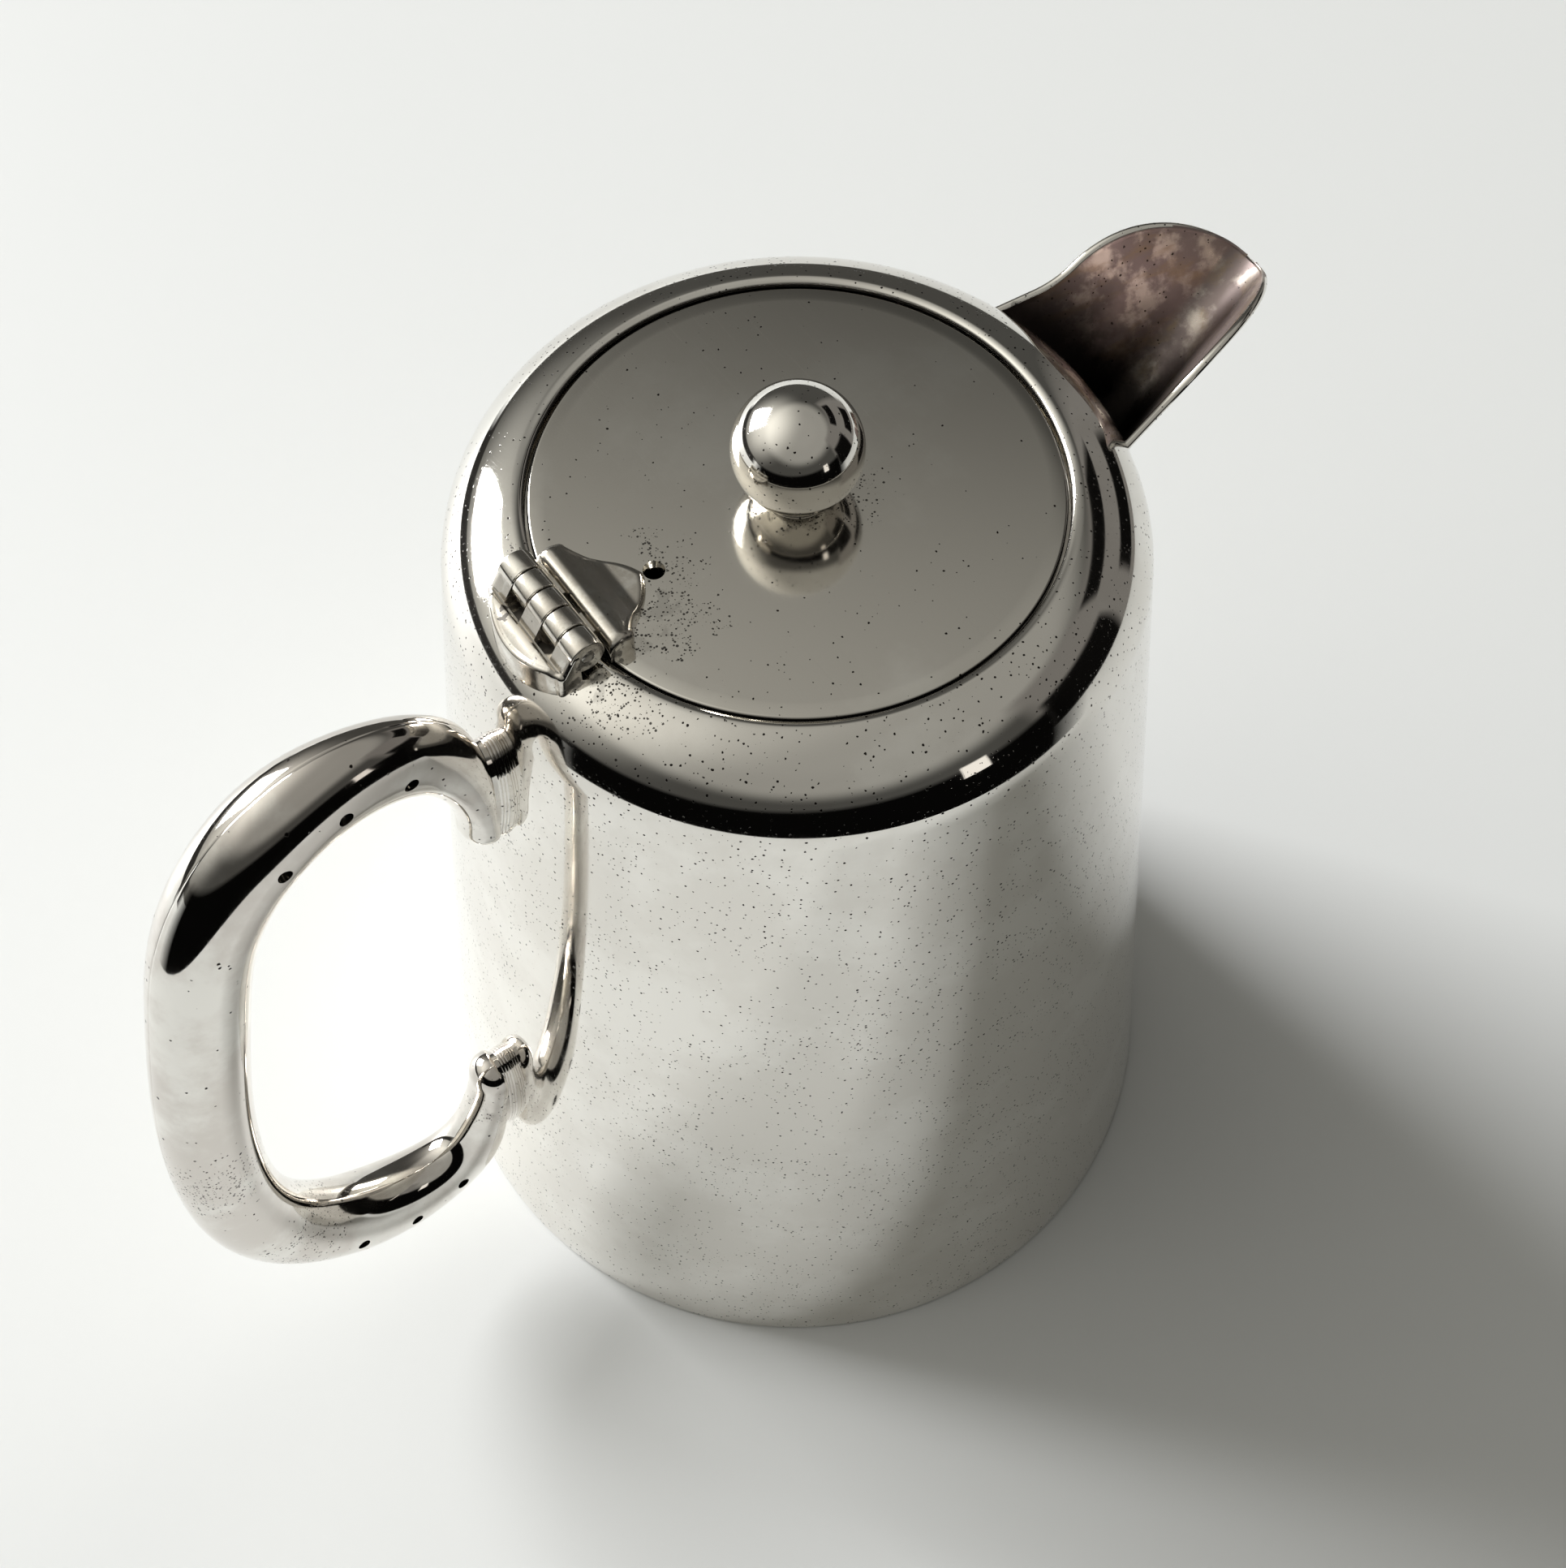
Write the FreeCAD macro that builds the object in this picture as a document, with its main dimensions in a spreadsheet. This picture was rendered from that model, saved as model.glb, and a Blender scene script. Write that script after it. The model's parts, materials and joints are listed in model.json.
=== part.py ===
import FreeCAD, Part
import math
import os
import Sketcher
from types import SimpleNamespace

# A plated teapot: tapered pot, open spout, hollow loop handle and a hinged flat lid with a ball knob.
# Origin at the centre of the foot, on the table. +Z is up, the spout points along +X, the handle along -X.

Vector = FreeCAD.Vector
doc = FreeCAD.newDocument("Teapot")

# Driving dimensions in millimetres: alias, value, meaning.
SIZES = (
    ("baseRadius", 53.0, "wall, outer radius at the table"),
    ("wallTopRadius", 40.6, "wall, outer radius where the shoulder starts"),
    ("wallTopHeight", 121.0, "wall, height where the shoulder starts"),
    ("shoulderArc", 11.4, "shoulder, outer radius of its roll"),
    ("sheet", 1.0, "wall and shoulder, thickness"),
    ("mouthInset", 10.25, "mouth, its edge inside the top of the wall"),
    ("baseThick", 1.2, "base plate, thickness"),
    ("lidGap", 0.35, "gap between lid and mouth edge"),
    ("lidRecess", 0.7, "lid top below the mouth edge"),
    ("lidThick", 1.0, "lid plate, thickness"),
    ("lidEdge", 0.4, "lid plate, rounding of its rim"),
    ("ledgeWidth", 1.75, "mouth ring, how far it reaches in past the mouth edge"),
    ("ledgeThick", 1.2, "mouth ring, thickness of the ledge"),
    ("lipDepth", 4.0, "mouth ring, depth of its turned-down lip"),
    ("lipThick", 0.9, "mouth ring, thickness of that lip"),
    ("bezelGap", 0.9, "gap between bezel and mouth ring"),
    ("bezelThick", 0.8, "bezel, thickness"),
    ("bezelDepth", 4.0, "bezel, depth under the lid"),
    ("steamInset", 11.0, "steam hole, distance inside the lid's rim"),
    ("steamRadius", 1.15, "steam hole, radius"),
    ("ballRadius", 7.4, "knob ball, radius"),
    ("ballBore", 7.0, "knob ball, depth of the stud's hole"),
    ("neckHeight", 0.8, "knob collar, height"),
    ("neckRadius", 4.0, "knob collar, radius on the lid"),
    ("neckTaper", 0.7, "knob collar, how much narrower it is under the ball"),
    ("studRadius", 1.5, "knob stud, radius"),
    ("studClear", 0.05, "clearance round the stud"),
    ("studTail", 0.6, "knob stud, length past the nut"),
    ("washerRadius", 3.5, "knob washer, radius"),
    ("washerThick", 0.6, "knob washer, thickness"),
    ("nutFlats", 5.5, "knob nut, width across flats"),
    ("nutThick", 2.2, "knob nut, thickness"),
    ("spoutReach", 26.3, "spout, reach of the lip past the top of the wall"),
    ("spoutTipLift", 5.5, "spout, lip above the top of the wall"),
    ("spoutRiseAngle", 43.2, "spout, rise of its floor in degrees"),
    ("spoutFloorArc", 3.5, "spout, inside radius of its floor"),
    ("spoutWall", 1.0, "spout, wall measured across the channel"),
    ("spoutRootAngle", 19.5, "spout, sideways lean of its sides at the pot in degrees"),
    ("spoutLipAngle", 36.9, "spout, sideways lean of its sides at the lip in degrees"),
    ("rimRootLift", 2.2, "spout, rim above the top of the wall at the pot"),
    ("rimBendReach", 5.4, "spout, where the rim starts its rise, past the top of the wall"),
    ("rimBendLift", 5.3, "spout, rim above the top of the wall there"),
    ("rimCrown", 4.0, "spout, height of the rim's crown between there and the lip"),
    ("rimHollow", 14.0, "spout, radius of the rim's hollow at that rise"),
    ("strainerRadius", 1.3, "strainer hole, radius"),
    ("strainerPitch", 4.2, "strainer holes, distance apart in a row"),
    ("strainerRowPitch", 3.9, "strainer holes, distance between rows"),
    ("strainerDrop", 2.5, "strainer holes, top row below the top of the wall"),
    ("upperMountDrop", 13.8, "upper socket, its centre below the top of the wall"),
    ("lowerMount", 33.0, "lower socket, height of its centre"),
    ("socketHalfHeight", 9.3, "sockets, half the height on the wall"),
    ("socketHalfWidth", 3.7, "sockets, half the width on the wall"),
    ("socketFlange", 0.4, "sockets, thickness of the flange on the wall"),
    ("socketReach", 1.3, "sockets, length from wall to handle"),
    ("socketNeck", 0.85, "sockets, size at the handle end as a share of the flange"),
    ("ringStand", 0.15, "sockets, height of each turned ring"),
    ("socketSink", 0.6, "sockets, depth let into the handle"),
    ("endDepth", 0.9, "handle, half its depth at the tips that lie along the wall"),
    ("endWidth", 3.5, "handle, half its width at those tips"),
    ("gripDepth", 6.0, "handle, half its depth at the grip"),
    ("gripWidth", 5.5, "handle, half its width at the grip"),
    ("handleSheet", 1.0, "handle halves, thickness"),
    ("swellStart", 4.0, "handle, distance from each tip to where its depth grows"),
    ("upperDepthLength", 36.0, "handle, distance from the upper tip to its full depth"),
    ("lowerDepthLength", 32.0, "handle, distance from the lower tip to its full depth"),
    ("upperWidthStart", 20.0, "handle, distance from the upper tip to where its width grows"),
    ("upperWidthLength", 45.0, "handle, distance from the upper tip to its full width"),
    ("lowerWidthStart", 12.0, "handle, distance from the lower tip to where its width grows"),
    ("lowerWidthLength", 40.0, "handle, distance from the lower tip to its full width"),
    ("upperHollow", 20.0, "handle, distance from the upper tip to its hollow"),
    ("lowerHollow", 22.0, "handle, distance from the lower tip to its hollow"),
    ("upperTipDrop", 21.8, "handle, upper tip below the top of the wall"),
    ("upperKneeOut", 3.5, "handle, upper knee: distance from the wall"),
    ("upperKneeDrop", 9.8, "handle, upper knee: below the top of the wall"),
    ("upperBendOut", 7.35, "handle, upper bend: distance from the wall"),
    ("upperBendDrop", 2.4, "handle, upper bend: below the top of the wall"),
    ("crestOut", 21.75, "handle, crest: distance from the wall"),
    ("crestLift", 3.5, "handle, crest: above the top of the wall"),
    ("thumbOut", 34.15, "handle, under the thumb: distance from the wall"),
    ("thumbDrop", 5.5, "handle, under the thumb: below the top of the wall"),
    ("gripOut", 39.35, "handle, grip: distance from the wall"),
    ("gripDrop", 24.0, "handle, grip: below the top of the wall"),
    ("reachOut", 41.65, "handle, furthest place: distance from the wall"),
    ("reachHeight", 57.0, "handle, furthest place: height"),
    ("heelOut", 33.25, "handle, heel: distance from the wall"),
    ("heelHeight", 29.8, "handle, heel: height"),
    ("armOut", 17.0, "handle, lower arm: distance from the wall"),
    ("armHeight", 19.4, "handle, lower arm: height"),
    ("lowerBendOut", 6.35, "handle, lower bend: distance from the wall"),
    ("lowerBendHeight", 20.9, "handle, lower bend: height"),
    ("lowerKneeOut", 3.4, "handle, lower knee: distance from the wall"),
    ("lowerKneeHeight", 27.5, "handle, lower knee: height"),
    ("lowerTip", 41.6, "handle, height of its lower tip"),
    ("ventRadius", 0.9, "handle vent hole, radius"),
    ("ventPitch", 8.2, "handle vent holes, distance apart"),
    ("upperVentOut", 12.1, "upper vent holes, first one past the top of the wall"),
    ("lowerVentOut", 7.7, "lower vent holes, first one past the foot of the wall"),
    ("hingeOut", 1.55, "hinge, pin outside the mouth edge"),
    ("hingeHalf", 7.5, "hinge, half its length"),
    ("barrelRadius", 2.1, "hinge, radius of the knuckles"),
    ("barrelLift", 0.2, "hinge, knuckles above the mouth edge"),
    ("pinRadius", 0.75, "hinge pin, radius"),
    ("pinFit", 0.02, "hinge pin, radial clearance in the fixed knuckles"),
    ("pinRun", 0.05, "hinge pin, radial clearance in the turning knuckles"),
    ("knuckleGap", 0.12, "hinge, gap between knuckles"),
    ("knuckleClear", 0.3, "hinge, room round the turning knuckles"),
    ("leafReach", 5.9, "body leaf, reach from the pin outwards"),
    ("leafEnd", 2.5, "body leaf, reach at its two ends"),
    ("leafTop", 0.9, "body leaf, its top below the pin's axis"),
    ("leafFall", 1.6, "body leaf, fall of its top towards the edge"),
    ("lidLeafThick", 1.2, "lid leaf, thickness of its plate"),
    ("lidLeafReach", 11.2, "lid leaf, reach of its point from the pin inwards"),
    ("lidLeafTurn", 7.5, "lid leaf, distance from the pin to where its curve turns"),
    ("lidLeafWaist", 4.3, "lid leaf, half its width there"),
    ("barWidth", 3.0, "lid leaf, width of its bar"),
    ("barGap", 0.5, "lid leaf, gap between bar and knuckles"),
    ("barHeight", 2.2, "lid leaf, height of the bar's sides above the lid"),
    ("barCrown", 1.7, "lid leaf, radius of the bar's crown"),
    ("webThick", 1.2, "lid leaf, thickness of the webs to its knuckles"),
)
KNUCKLES = 5
STRAINER_ROWS = 4
VENTS = 3
HANDLE_SECTIONS = 25
SOCKET_RINGS = 2
TIP_START = 0.2

sheet = doc.addObject("Spreadsheet::Sheet", "dims")
for row, (alias, value, meaning) in enumerate(SIZES, 1):
    sheet.set(f"A{row}", meaning)
    sheet.set(f"B{row}", str(value))
    sheet.setAlias(f"B{row}", alias)
doc.recompute()


class Size:
    """A number together with the expression on the sheet that gives it."""

    def __init__(self, value, text):
        self.value = value
        self.text = text

    def __add__(self, other):
        other = sized(other)
        return Size(self.value + other.value, f"({self.text} + {other.text})")

    def __sub__(self, other):
        other = sized(other)
        return Size(self.value - other.value, f"({self.text} - {other.text})")

    def __mul__(self, other):
        other = sized(other)
        return Size(self.value * other.value, f"({self.text} * {other.text})")

    def __truediv__(self, other):
        other = sized(other)
        return Size(self.value / other.value, f"({self.text} / {other.text})")

    def __neg__(self):
        return Size(-self.value, f"(0 - {self.text})")


def sized(number):
    return number if isinstance(number, Size) else Size(float(number), repr(float(number)))


def root(size):
    return Size(math.sqrt(size.value), f"sqrt({size.text})")


def across(radius, offset):
    """The other leg of a right triangle with this long side."""
    return root(radius * radius - offset * offset)


def span(run, rise):
    """The long side of a right triangle with these legs."""
    return root(run * run + rise * rise)


def slope(angle):
    return Size(math.tan(math.radians(angle.value)), f"tan({angle.text} * 1 deg)")


def archRadius(halfSpan, height):
    """Radius of the arc that rises this high over this half span."""
    return (halfSpan * halfSpan + height * height) / (height * 2)


d = SimpleNamespace(**{alias: Size(float(sheet.get(alias)), f"dims.{alias}") for alias, _, _ in SIZES})
zero = sized(0)
derivedCount = 0


def derive(alias, size):
    """Keeps a size that is worked out from others on the sheet, under its own name."""
    global derivedCount
    derivedCount += 1
    cell = f"B{len(SIZES) + derivedCount}"
    sheet.set(cell, "=" + size.text.replace("dims.", ""))
    sheet.setAlias(cell, alias)
    return Size(size.value, f"dims.{alias}")


# Places that several pieces share.
taper = (d.baseRadius - d.wallTopRadius) / d.wallTopHeight
wallLean = root(taper * taper + 1)
wallCos = sized(1) / wallLean
wallSin = taper / wallLean
arcX = d.wallTopRadius - d.shoulderArc * wallCos
arcZ = d.wallTopHeight - d.shoulderArc * wallSin
innerArc = d.shoulderArc - d.sheet
mouthRadius = d.wallTopRadius - d.mouthInset
rimZ = arcZ + across(d.shoulderArc, mouthRadius - arcX)
lidTop = rimZ - d.lidRecess
lidUnder = lidTop - d.lidThick
lidRadius = mouthRadius - d.lidGap
ledgeInner = mouthRadius - d.ledgeWidth
studHole = d.studRadius + d.studClear
ballSeat = lidTop + d.neckHeight
hingeX = mouthRadius + d.hingeOut
hingeZ = rimZ + d.barrelRadius + d.barrelLift
knucklePitch = d.hingeHalf * 2 / KNUCKLES
upperMount = d.wallTopHeight - d.upperMountDrop
crestHeight = d.wallTopHeight + d.crestLift


def wallAt(height):
    return d.baseRadius - taper * height


def place(feature, x=zero, y=zero, z=zero):
    for axis, size in zip("xyz", (x, y, z)):
        feature.setExpression(f"Placement.Base.{axis}", size.text)


def newBody(label):
    body = doc.addObject("PartDesign::Body", label)
    body.Label = label
    return body


def newSketch(body, role, lift=None):
    """Sketch on one of the body's own planes, lifted along the plane's normal."""
    sketch = body.newObject("Sketcher::SketchObject", f"{body.Label}_sketch")
    support = [plane for plane in body.Origin.OriginFeatures if plane.Role == role][0]
    sketch.AttachmentSupport = [(support, "")]
    sketch.MapMode = "FlatFace"
    if lift is not None:
        sketch.setExpression("AttachmentOffset.Base.z", lift.text)
    return sketch


def bind(sketch, kind, size, *target):
    index = sketch.addConstraint(Sketcher.Constraint(kind, *target, size.value))
    sketch.setExpression(f"Constraints[{index}]", size.text)


def arcEdge(start, end, radius, turn):
    """Arc of under half a circle from start to end, turning left (1) or right (-1)."""
    chord = end - start
    middle = (start + end) * 0.5
    normal = Vector(-chord.y, chord.x, 0).normalize() * turn
    centre = middle + normal * math.sqrt(radius * radius - (chord.Length / 2) ** 2)
    first, last = (start, end) if turn > 0 else (end, start)
    angles = [math.atan2(point.y - centre.y, point.x - centre.x) for point in (first, last)]
    circle = Part.Circle(centre, Vector(0, 0, 1), radius)
    return Part.ArcOfCircle(circle, *angles)


def drawOutline(sketch, corners, arcs=None):
    """Closed outline with bound corners; arcs maps an edge's number to its radius and turn."""
    arcs = arcs or {}
    points = [Vector(x.value, y.value, 0) for x, y in corners]
    ends = []
    for number, start in enumerate(points):
        end = points[(number + 1) % len(points)]
        if number in arcs:
            radius, turn = arcs[number]
            edge = sketch.addGeometry(arcEdge(start, end, radius.value, turn))
            ends.append((edge, 1, 2) if turn > 0 else (edge, 2, 1))
        else:
            edge = sketch.addGeometry(Part.LineSegment(start, end))
            ends.append((edge, 1, 2))
    for number, (edge, first, last) in enumerate(ends):
        following, entry, _ = ends[(number + 1) % len(ends)]
        sketch.addConstraint(Sketcher.Constraint("Coincident", edge, last, following, entry))
    for number, (edge, first, last) in enumerate(ends):
        bind(sketch, "DistanceX", corners[number][0], -1, 1, edge, first)
        bind(sketch, "DistanceY", corners[number][1], -1, 1, edge, first)
        if number in arcs:
            bind(sketch, "Radius", arcs[number][0], edge)


def drawCircle(sketch, x, y, radius):
    circle = Part.Circle(Vector(x.value, y.value, 0), Vector(0, 0, 1), radius.value)
    edge = sketch.addGeometry(circle)
    bind(sketch, "DistanceX", x, -1, 1, edge, 3)
    bind(sketch, "DistanceY", y, -1, 1, edge, 3)
    bind(sketch, "Radius", radius, edge)


def revolve(body, corners, arcs=None):
    """Turned piece about the pot's axis; corners are radius and height."""
    sketch = newSketch(body, "XZ_Plane")
    drawOutline(sketch, corners, arcs)
    turned = body.newObject("PartDesign::Revolution", f"{body.Label}_turned")
    turned.Profile = sketch
    turned.ReferenceAxis = (sketch, ["V_Axis"])
    turned.Angle = 360
    return turned


def pad(body, sketch, length, symmetric=False):
    feature = body.newObject("PartDesign::Pad", f"{body.Label}_pad")
    feature.Profile = sketch
    feature.setExpression("Length", length.text)
    feature.Midplane = symmetric
    return feature


def pocket(body, sketch, length, symmetric=False, reversed=False):
    feature = body.newObject("PartDesign::Pocket", f"{body.Label}_pocket")
    feature.Profile = sketch
    feature.setExpression("Length", length.text)
    feature.Midplane = symmetric
    feature.Reversed = reversed
    return feature


def repeat(body, feature, sketch, step, count):
    """Copies of a feature along its sketch's normal."""
    copies = body.newObject("PartDesign::LinearPattern", f"{body.Label}_row")
    copies.Originals = [feature]
    copies.Direction = (sketch, ["N_Axis"])
    copies.setExpression("Length", (step * (count - 1)).text)
    copies.Occurrences = count
    body.Tip = copies
    return copies


def combine(kind, label, base, tool):
    result = doc.addObject(kind, label)
    result.Label = label
    result.Base = base
    result.Tool = tool
    return result


def cylinder(label, radius, length):
    rod = doc.addObject("Part::Cylinder", label)
    rod.Label = label
    rod.setExpression("Radius", radius.text)
    rod.setExpression("Height", length.text)
    return rod


def makeBodyForm():
    """The pot's outside as one solid, to shape what sits against it."""
    body = newBody("body_form")
    corners = [(zero, zero), (d.baseRadius, zero), (d.wallTopRadius, d.wallTopHeight),
               (mouthRadius, rimZ), (zero, rimZ)]
    revolve(body, corners, {2: (d.shoulderArc, 1)})
    return body


def makeBodyShell():
    body = newBody("body_shell")
    rimUnder = arcZ + across(innerArc, mouthRadius - arcX)
    inner = d.baseRadius - d.sheet * wallLean
    corners = [(d.baseRadius, zero), (d.wallTopRadius, d.wallTopHeight), (mouthRadius, rimZ),
               (mouthRadius, rimUnder),
               (d.wallTopRadius - d.sheet * wallCos, d.wallTopHeight - d.sheet * wallSin),
               (inner, zero)]
    revolve(body, corners, {1: (d.shoulderArc, 1), 3: (innerArc, -1)})
    # Strainer: a triangle of holes through the wall behind the spout.
    holes = newSketch(body, "YZ_Plane")
    topRow = d.wallTopHeight - d.strainerDrop
    for rowNumber in range(STRAINER_ROWS):
        count = STRAINER_ROWS - rowNumber
        for hole in range(count):
            y = d.strainerPitch * (hole - (count - 1) / 2)
            drawCircle(holes, y, topRow - d.strainerRowPitch * rowNumber, d.strainerRadius)
    pocket(body, holes, d.baseRadius, reversed=True)
    return body


def makeBasePlate():
    body = newBody("base_plate")
    inner = d.baseRadius - d.sheet * wallLean
    revolve(body, [(zero, zero), (inner, zero), (inner - taper * d.baseThick, d.baseThick),
                   (zero, d.baseThick)])
    return body


def makeMouthRing():
    """Ledge soldered under the shoulder, with its inner edge turned down."""
    body = newBody("mouth_ring")
    ledgeUnder = lidUnder - d.ledgeThick
    lipEnd = lidUnder - d.lipDepth
    corners = [(ledgeInner, lidUnder), (ledgeInner, lipEnd), (ledgeInner + d.lipThick, lipEnd),
               (ledgeInner + d.lipThick, ledgeUnder),
               (arcX + across(innerArc, ledgeUnder - arcZ), ledgeUnder),
               (arcX + across(innerArc, lidUnder - arcZ), lidUnder)]
    revolve(body, corners, {4: (innerArc, 1)})
    return body


def makeLidPlate():
    body = newBody("lid_plate")
    corners = [(studHole, lidUnder), (lidRadius, lidUnder), (lidRadius, lidTop - d.lidEdge),
               (lidRadius - d.lidEdge, lidTop), (studHole, lidTop)]
    revolve(body, corners, {2: (d.lidEdge, 1)})
    steam = newSketch(body, "XY_Plane", lidTop)
    drawCircle(steam, d.steamInset - lidRadius, zero, d.steamRadius)
    pocket(body, steam, d.lidThick)
    return body


def makeRing(label, inner, outer, bottom, top, topOuter=None):
    body = newBody(label)
    revolve(body, [(inner, bottom), (outer, bottom), (topOuter or outer, top), (inner, top)])
    return body


def makeKnobBall():
    body = newBody("knob_ball")
    seat = d.neckRadius - d.neckTaper
    crown = ballSeat + across(d.ballRadius, seat) + d.ballRadius
    bore = ballSeat + d.ballBore
    corners = [(studHole, ballSeat), (seat, ballSeat), (zero, crown), (zero, bore), (studHole, bore)]
    revolve(body, corners, {1: (d.ballRadius, 1)})
    return body


def makeKnobFixing():
    """Stud from the ball down through the lid, with a washer and a nut under it."""
    washerUnder = lidUnder - d.washerThick
    nutUnder = washerUnder - d.nutThick
    tail = nutUnder - d.studTail
    stud = cylinder("knob_stud", d.studRadius, ballSeat + d.ballBore - d.studClear - tail)
    place(stud, z=tail)
    washer = makeRing("knob_washer", studHole, d.washerRadius, washerUnder, lidUnder)
    blank = doc.addObject("Part::Prism", "nut_blank")
    blank.Polygon = 6
    blank.setExpression("Circumradius", (d.nutFlats / math.sqrt(3)).text)
    blank.setExpression("Height", d.nutThick.text)
    place(blank, z=nutUnder)
    thread = cylinder("nut_thread", studHole, d.nutThick)
    place(thread, z=nutUnder)
    nut = combine("Part::Cut", "knob_nut", blank, thread)
    return [stud, washer, nut]


def channelCorners(floor, flare, arc, top):
    """Cross-section of the spout: round floor, sloping sides, open top closed by a line."""
    lean = root(flare * flare + 1)
    centre = floor + d.spoutFloorArc
    footY = arc / lean
    footZ = centre - arc * flare / lean
    topY = footY + flare * (top - footZ)
    return [(-footY, footZ), (footY, footZ), (topY, top), (-topY, top)]


def makeSpout(bodyForm):
    body = newBody("spout_channel")
    rootX = d.wallTopRadius - d.shoulderArc
    tipX = d.wallTopRadius + d.spoutReach
    tipZ = d.wallTopHeight + d.spoutTipLift
    endX = tipX + d.spoutWall * 3
    top = rimZ + d.shoulderArc
    lofts = (("PartDesign::AdditiveLoft", d.spoutFloorArc + d.spoutWall),
             ("PartDesign::SubtractiveLoft", d.spoutFloorArc))
    for kind, arc in lofts:
        sections = []
        for x, flare in ((rootX, slope(d.spoutRootAngle)), (endX, slope(d.spoutLipAngle))):
            floor = tipZ - slope(d.spoutRiseAngle) * (tipX - x)
            section = newSketch(body, "YZ_Plane", x)
            drawOutline(section, channelCorners(floor, flare, arc, top), {0: (arc, 1)})
            sections.append(section)
        loft = body.newObject(kind, f"{body.Label}_loft")
        loft.Profile = sections[0]
        loft.Sections = sections[1:]
        loft.Ruled = True
    # The rim in side view: a slope from the pot, a hollow, then one crown down to the lip.
    rootZ = d.wallTopHeight + d.rimRootLift
    bendX = d.wallTopRadius + d.rimBendReach
    bendZ = d.wallTopHeight + d.rimBendLift
    run = derive("rimRun", span(bendX - rootX, bendZ - rootZ))
    chord = derive("crownChord", span(tipX - bendX, tipZ - bendZ))
    crownArc = derive("crownArc", archRadius(chord / 2, d.rimCrown))
    drop = crownArc - d.rimCrown
    crownX = derive("crownX", (bendX + tipX) / 2 + (tipZ - bendZ) / chord * drop)
    crownZ = derive("crownZ", (bendZ + tipZ) / 2 - (tipX - bendX) / chord * drop)
    slopeX = (bendX - rootX) / run
    slopeZ = (bendZ - rootZ) / run
    ahead = (crownX - rootX) * slopeX + (crownZ - rootZ) * slopeZ
    below = derive("crownBelow", (crownX - rootX) * slopeZ - (crownZ - rootZ) * slopeX)
    start = derive("hollowStart", ahead - across(crownArc + d.rimHollow, d.rimHollow + below))
    hollowX = rootX + slopeX * start - slopeZ * d.rimHollow
    hollowZ = rootZ + slopeZ * start + slopeX * d.rimHollow
    share = derive("crownShare", crownArc / (crownArc + d.rimHollow))
    rim = newSketch(body, "XZ_Plane")
    drawOutline(rim, [(rootX, rootZ), (rootX + slopeX * start, rootZ + slopeZ * start),
                      (crownX + (hollowX - crownX) * share, crownZ + (hollowZ - crownZ) * share),
                      (tipX, tipZ), (endX, tipZ + tipX - endX), (endX, top), (rootX, top)],
                {1: (d.rimHollow, 1), 2: (crownArc, -1)})
    pocket(body, rim, d.baseRadius * 2, symmetric=True)
    return combine("Part::Cut", "spout", body, bodyForm)


def makeSocket(label, mount, bodyForm):
    """Ringed oval collar, square to the wall and thinning towards the handle it is let into."""
    step = (d.socketReach - d.socketFlange) / (2 * SOCKET_RINGS)
    stations = [(-d.socketHalfWidth, sized(1), zero), (d.socketFlange, sized(1), zero)]
    for number in range(1, 2 * SOCKET_RINGS + 1):
        share = (d.socketNeck - 1) * (number / (2 * SOCKET_RINGS)) + 1
        stations.append((d.socketFlange + step * number, share, d.ringStand if number % 2 == 0 else zero))
    stations.append((d.socketReach + d.socketSink, d.socketNeck, zero))
    up = Vector(wallSin.value, 0, wallCos.value)
    outward = Vector(-wallCos.value, 0, wallSin.value)
    sections = []
    for offset, share, stand in stations:
        section = doc.addObject("Part::Ellipse", f"{label}_section")
        section.setExpression("MajorRadius", (d.socketHalfHeight * share + stand).text)
        section.setExpression("MinorRadius", (d.socketHalfWidth * share + stand).text)
        section.Placement = FreeCAD.Placement(Vector(), FreeCAD.Rotation(up, Vector(0, 1, 0), outward))
        place(section, x=-(wallAt(mount) + wallCos * offset), z=mount + wallSin * offset)
        sections.append(section)
    form = doc.addObject("Part::Loft", f"{label}_form")
    form.Sections = sections
    form.Solid = True
    form.Ruled = True
    return combine("Part::Cut", label, form, bodyForm)


def handlePath():
    """Middle line of the handle, from its upper tip round to its lower tip."""
    stand = d.socketReach + d.endDepth
    tipTurn = d.socketHalfHeight * 0.6
    upperTip = d.wallTopHeight - d.upperTipDrop
    stops = [(stand, upperTip), (stand, upperTip + tipTurn),
             (d.upperKneeOut, d.wallTopHeight - d.upperKneeDrop),
             (d.upperBendOut, d.wallTopHeight - d.upperBendDrop),
             (d.crestOut, crestHeight),
             (d.thumbOut, d.wallTopHeight - d.thumbDrop),
             (d.gripOut, d.wallTopHeight - d.gripDrop),
             (d.reachOut, d.reachHeight), (d.heelOut, d.heelHeight), (d.armOut, d.armHeight),
             (d.lowerBendOut, d.lowerBendHeight), (d.lowerKneeOut, d.lowerKneeHeight),
             (stand, d.lowerTip - tipTurn), (stand, d.lowerTip)]
    path = Part.BSplineCurve()
    path.interpolate([Vector(-(wallAt(z) + out).value, 0, z.value) for out, z in stops])
    return path


def ease(along, start, end):
    """0 before the start, 1 after the end, and a smooth rise between them."""
    share = min(1, max(0, (along - start.value) / (end.value - start.value)))
    return share * share * (3 - 2 * share)


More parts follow.
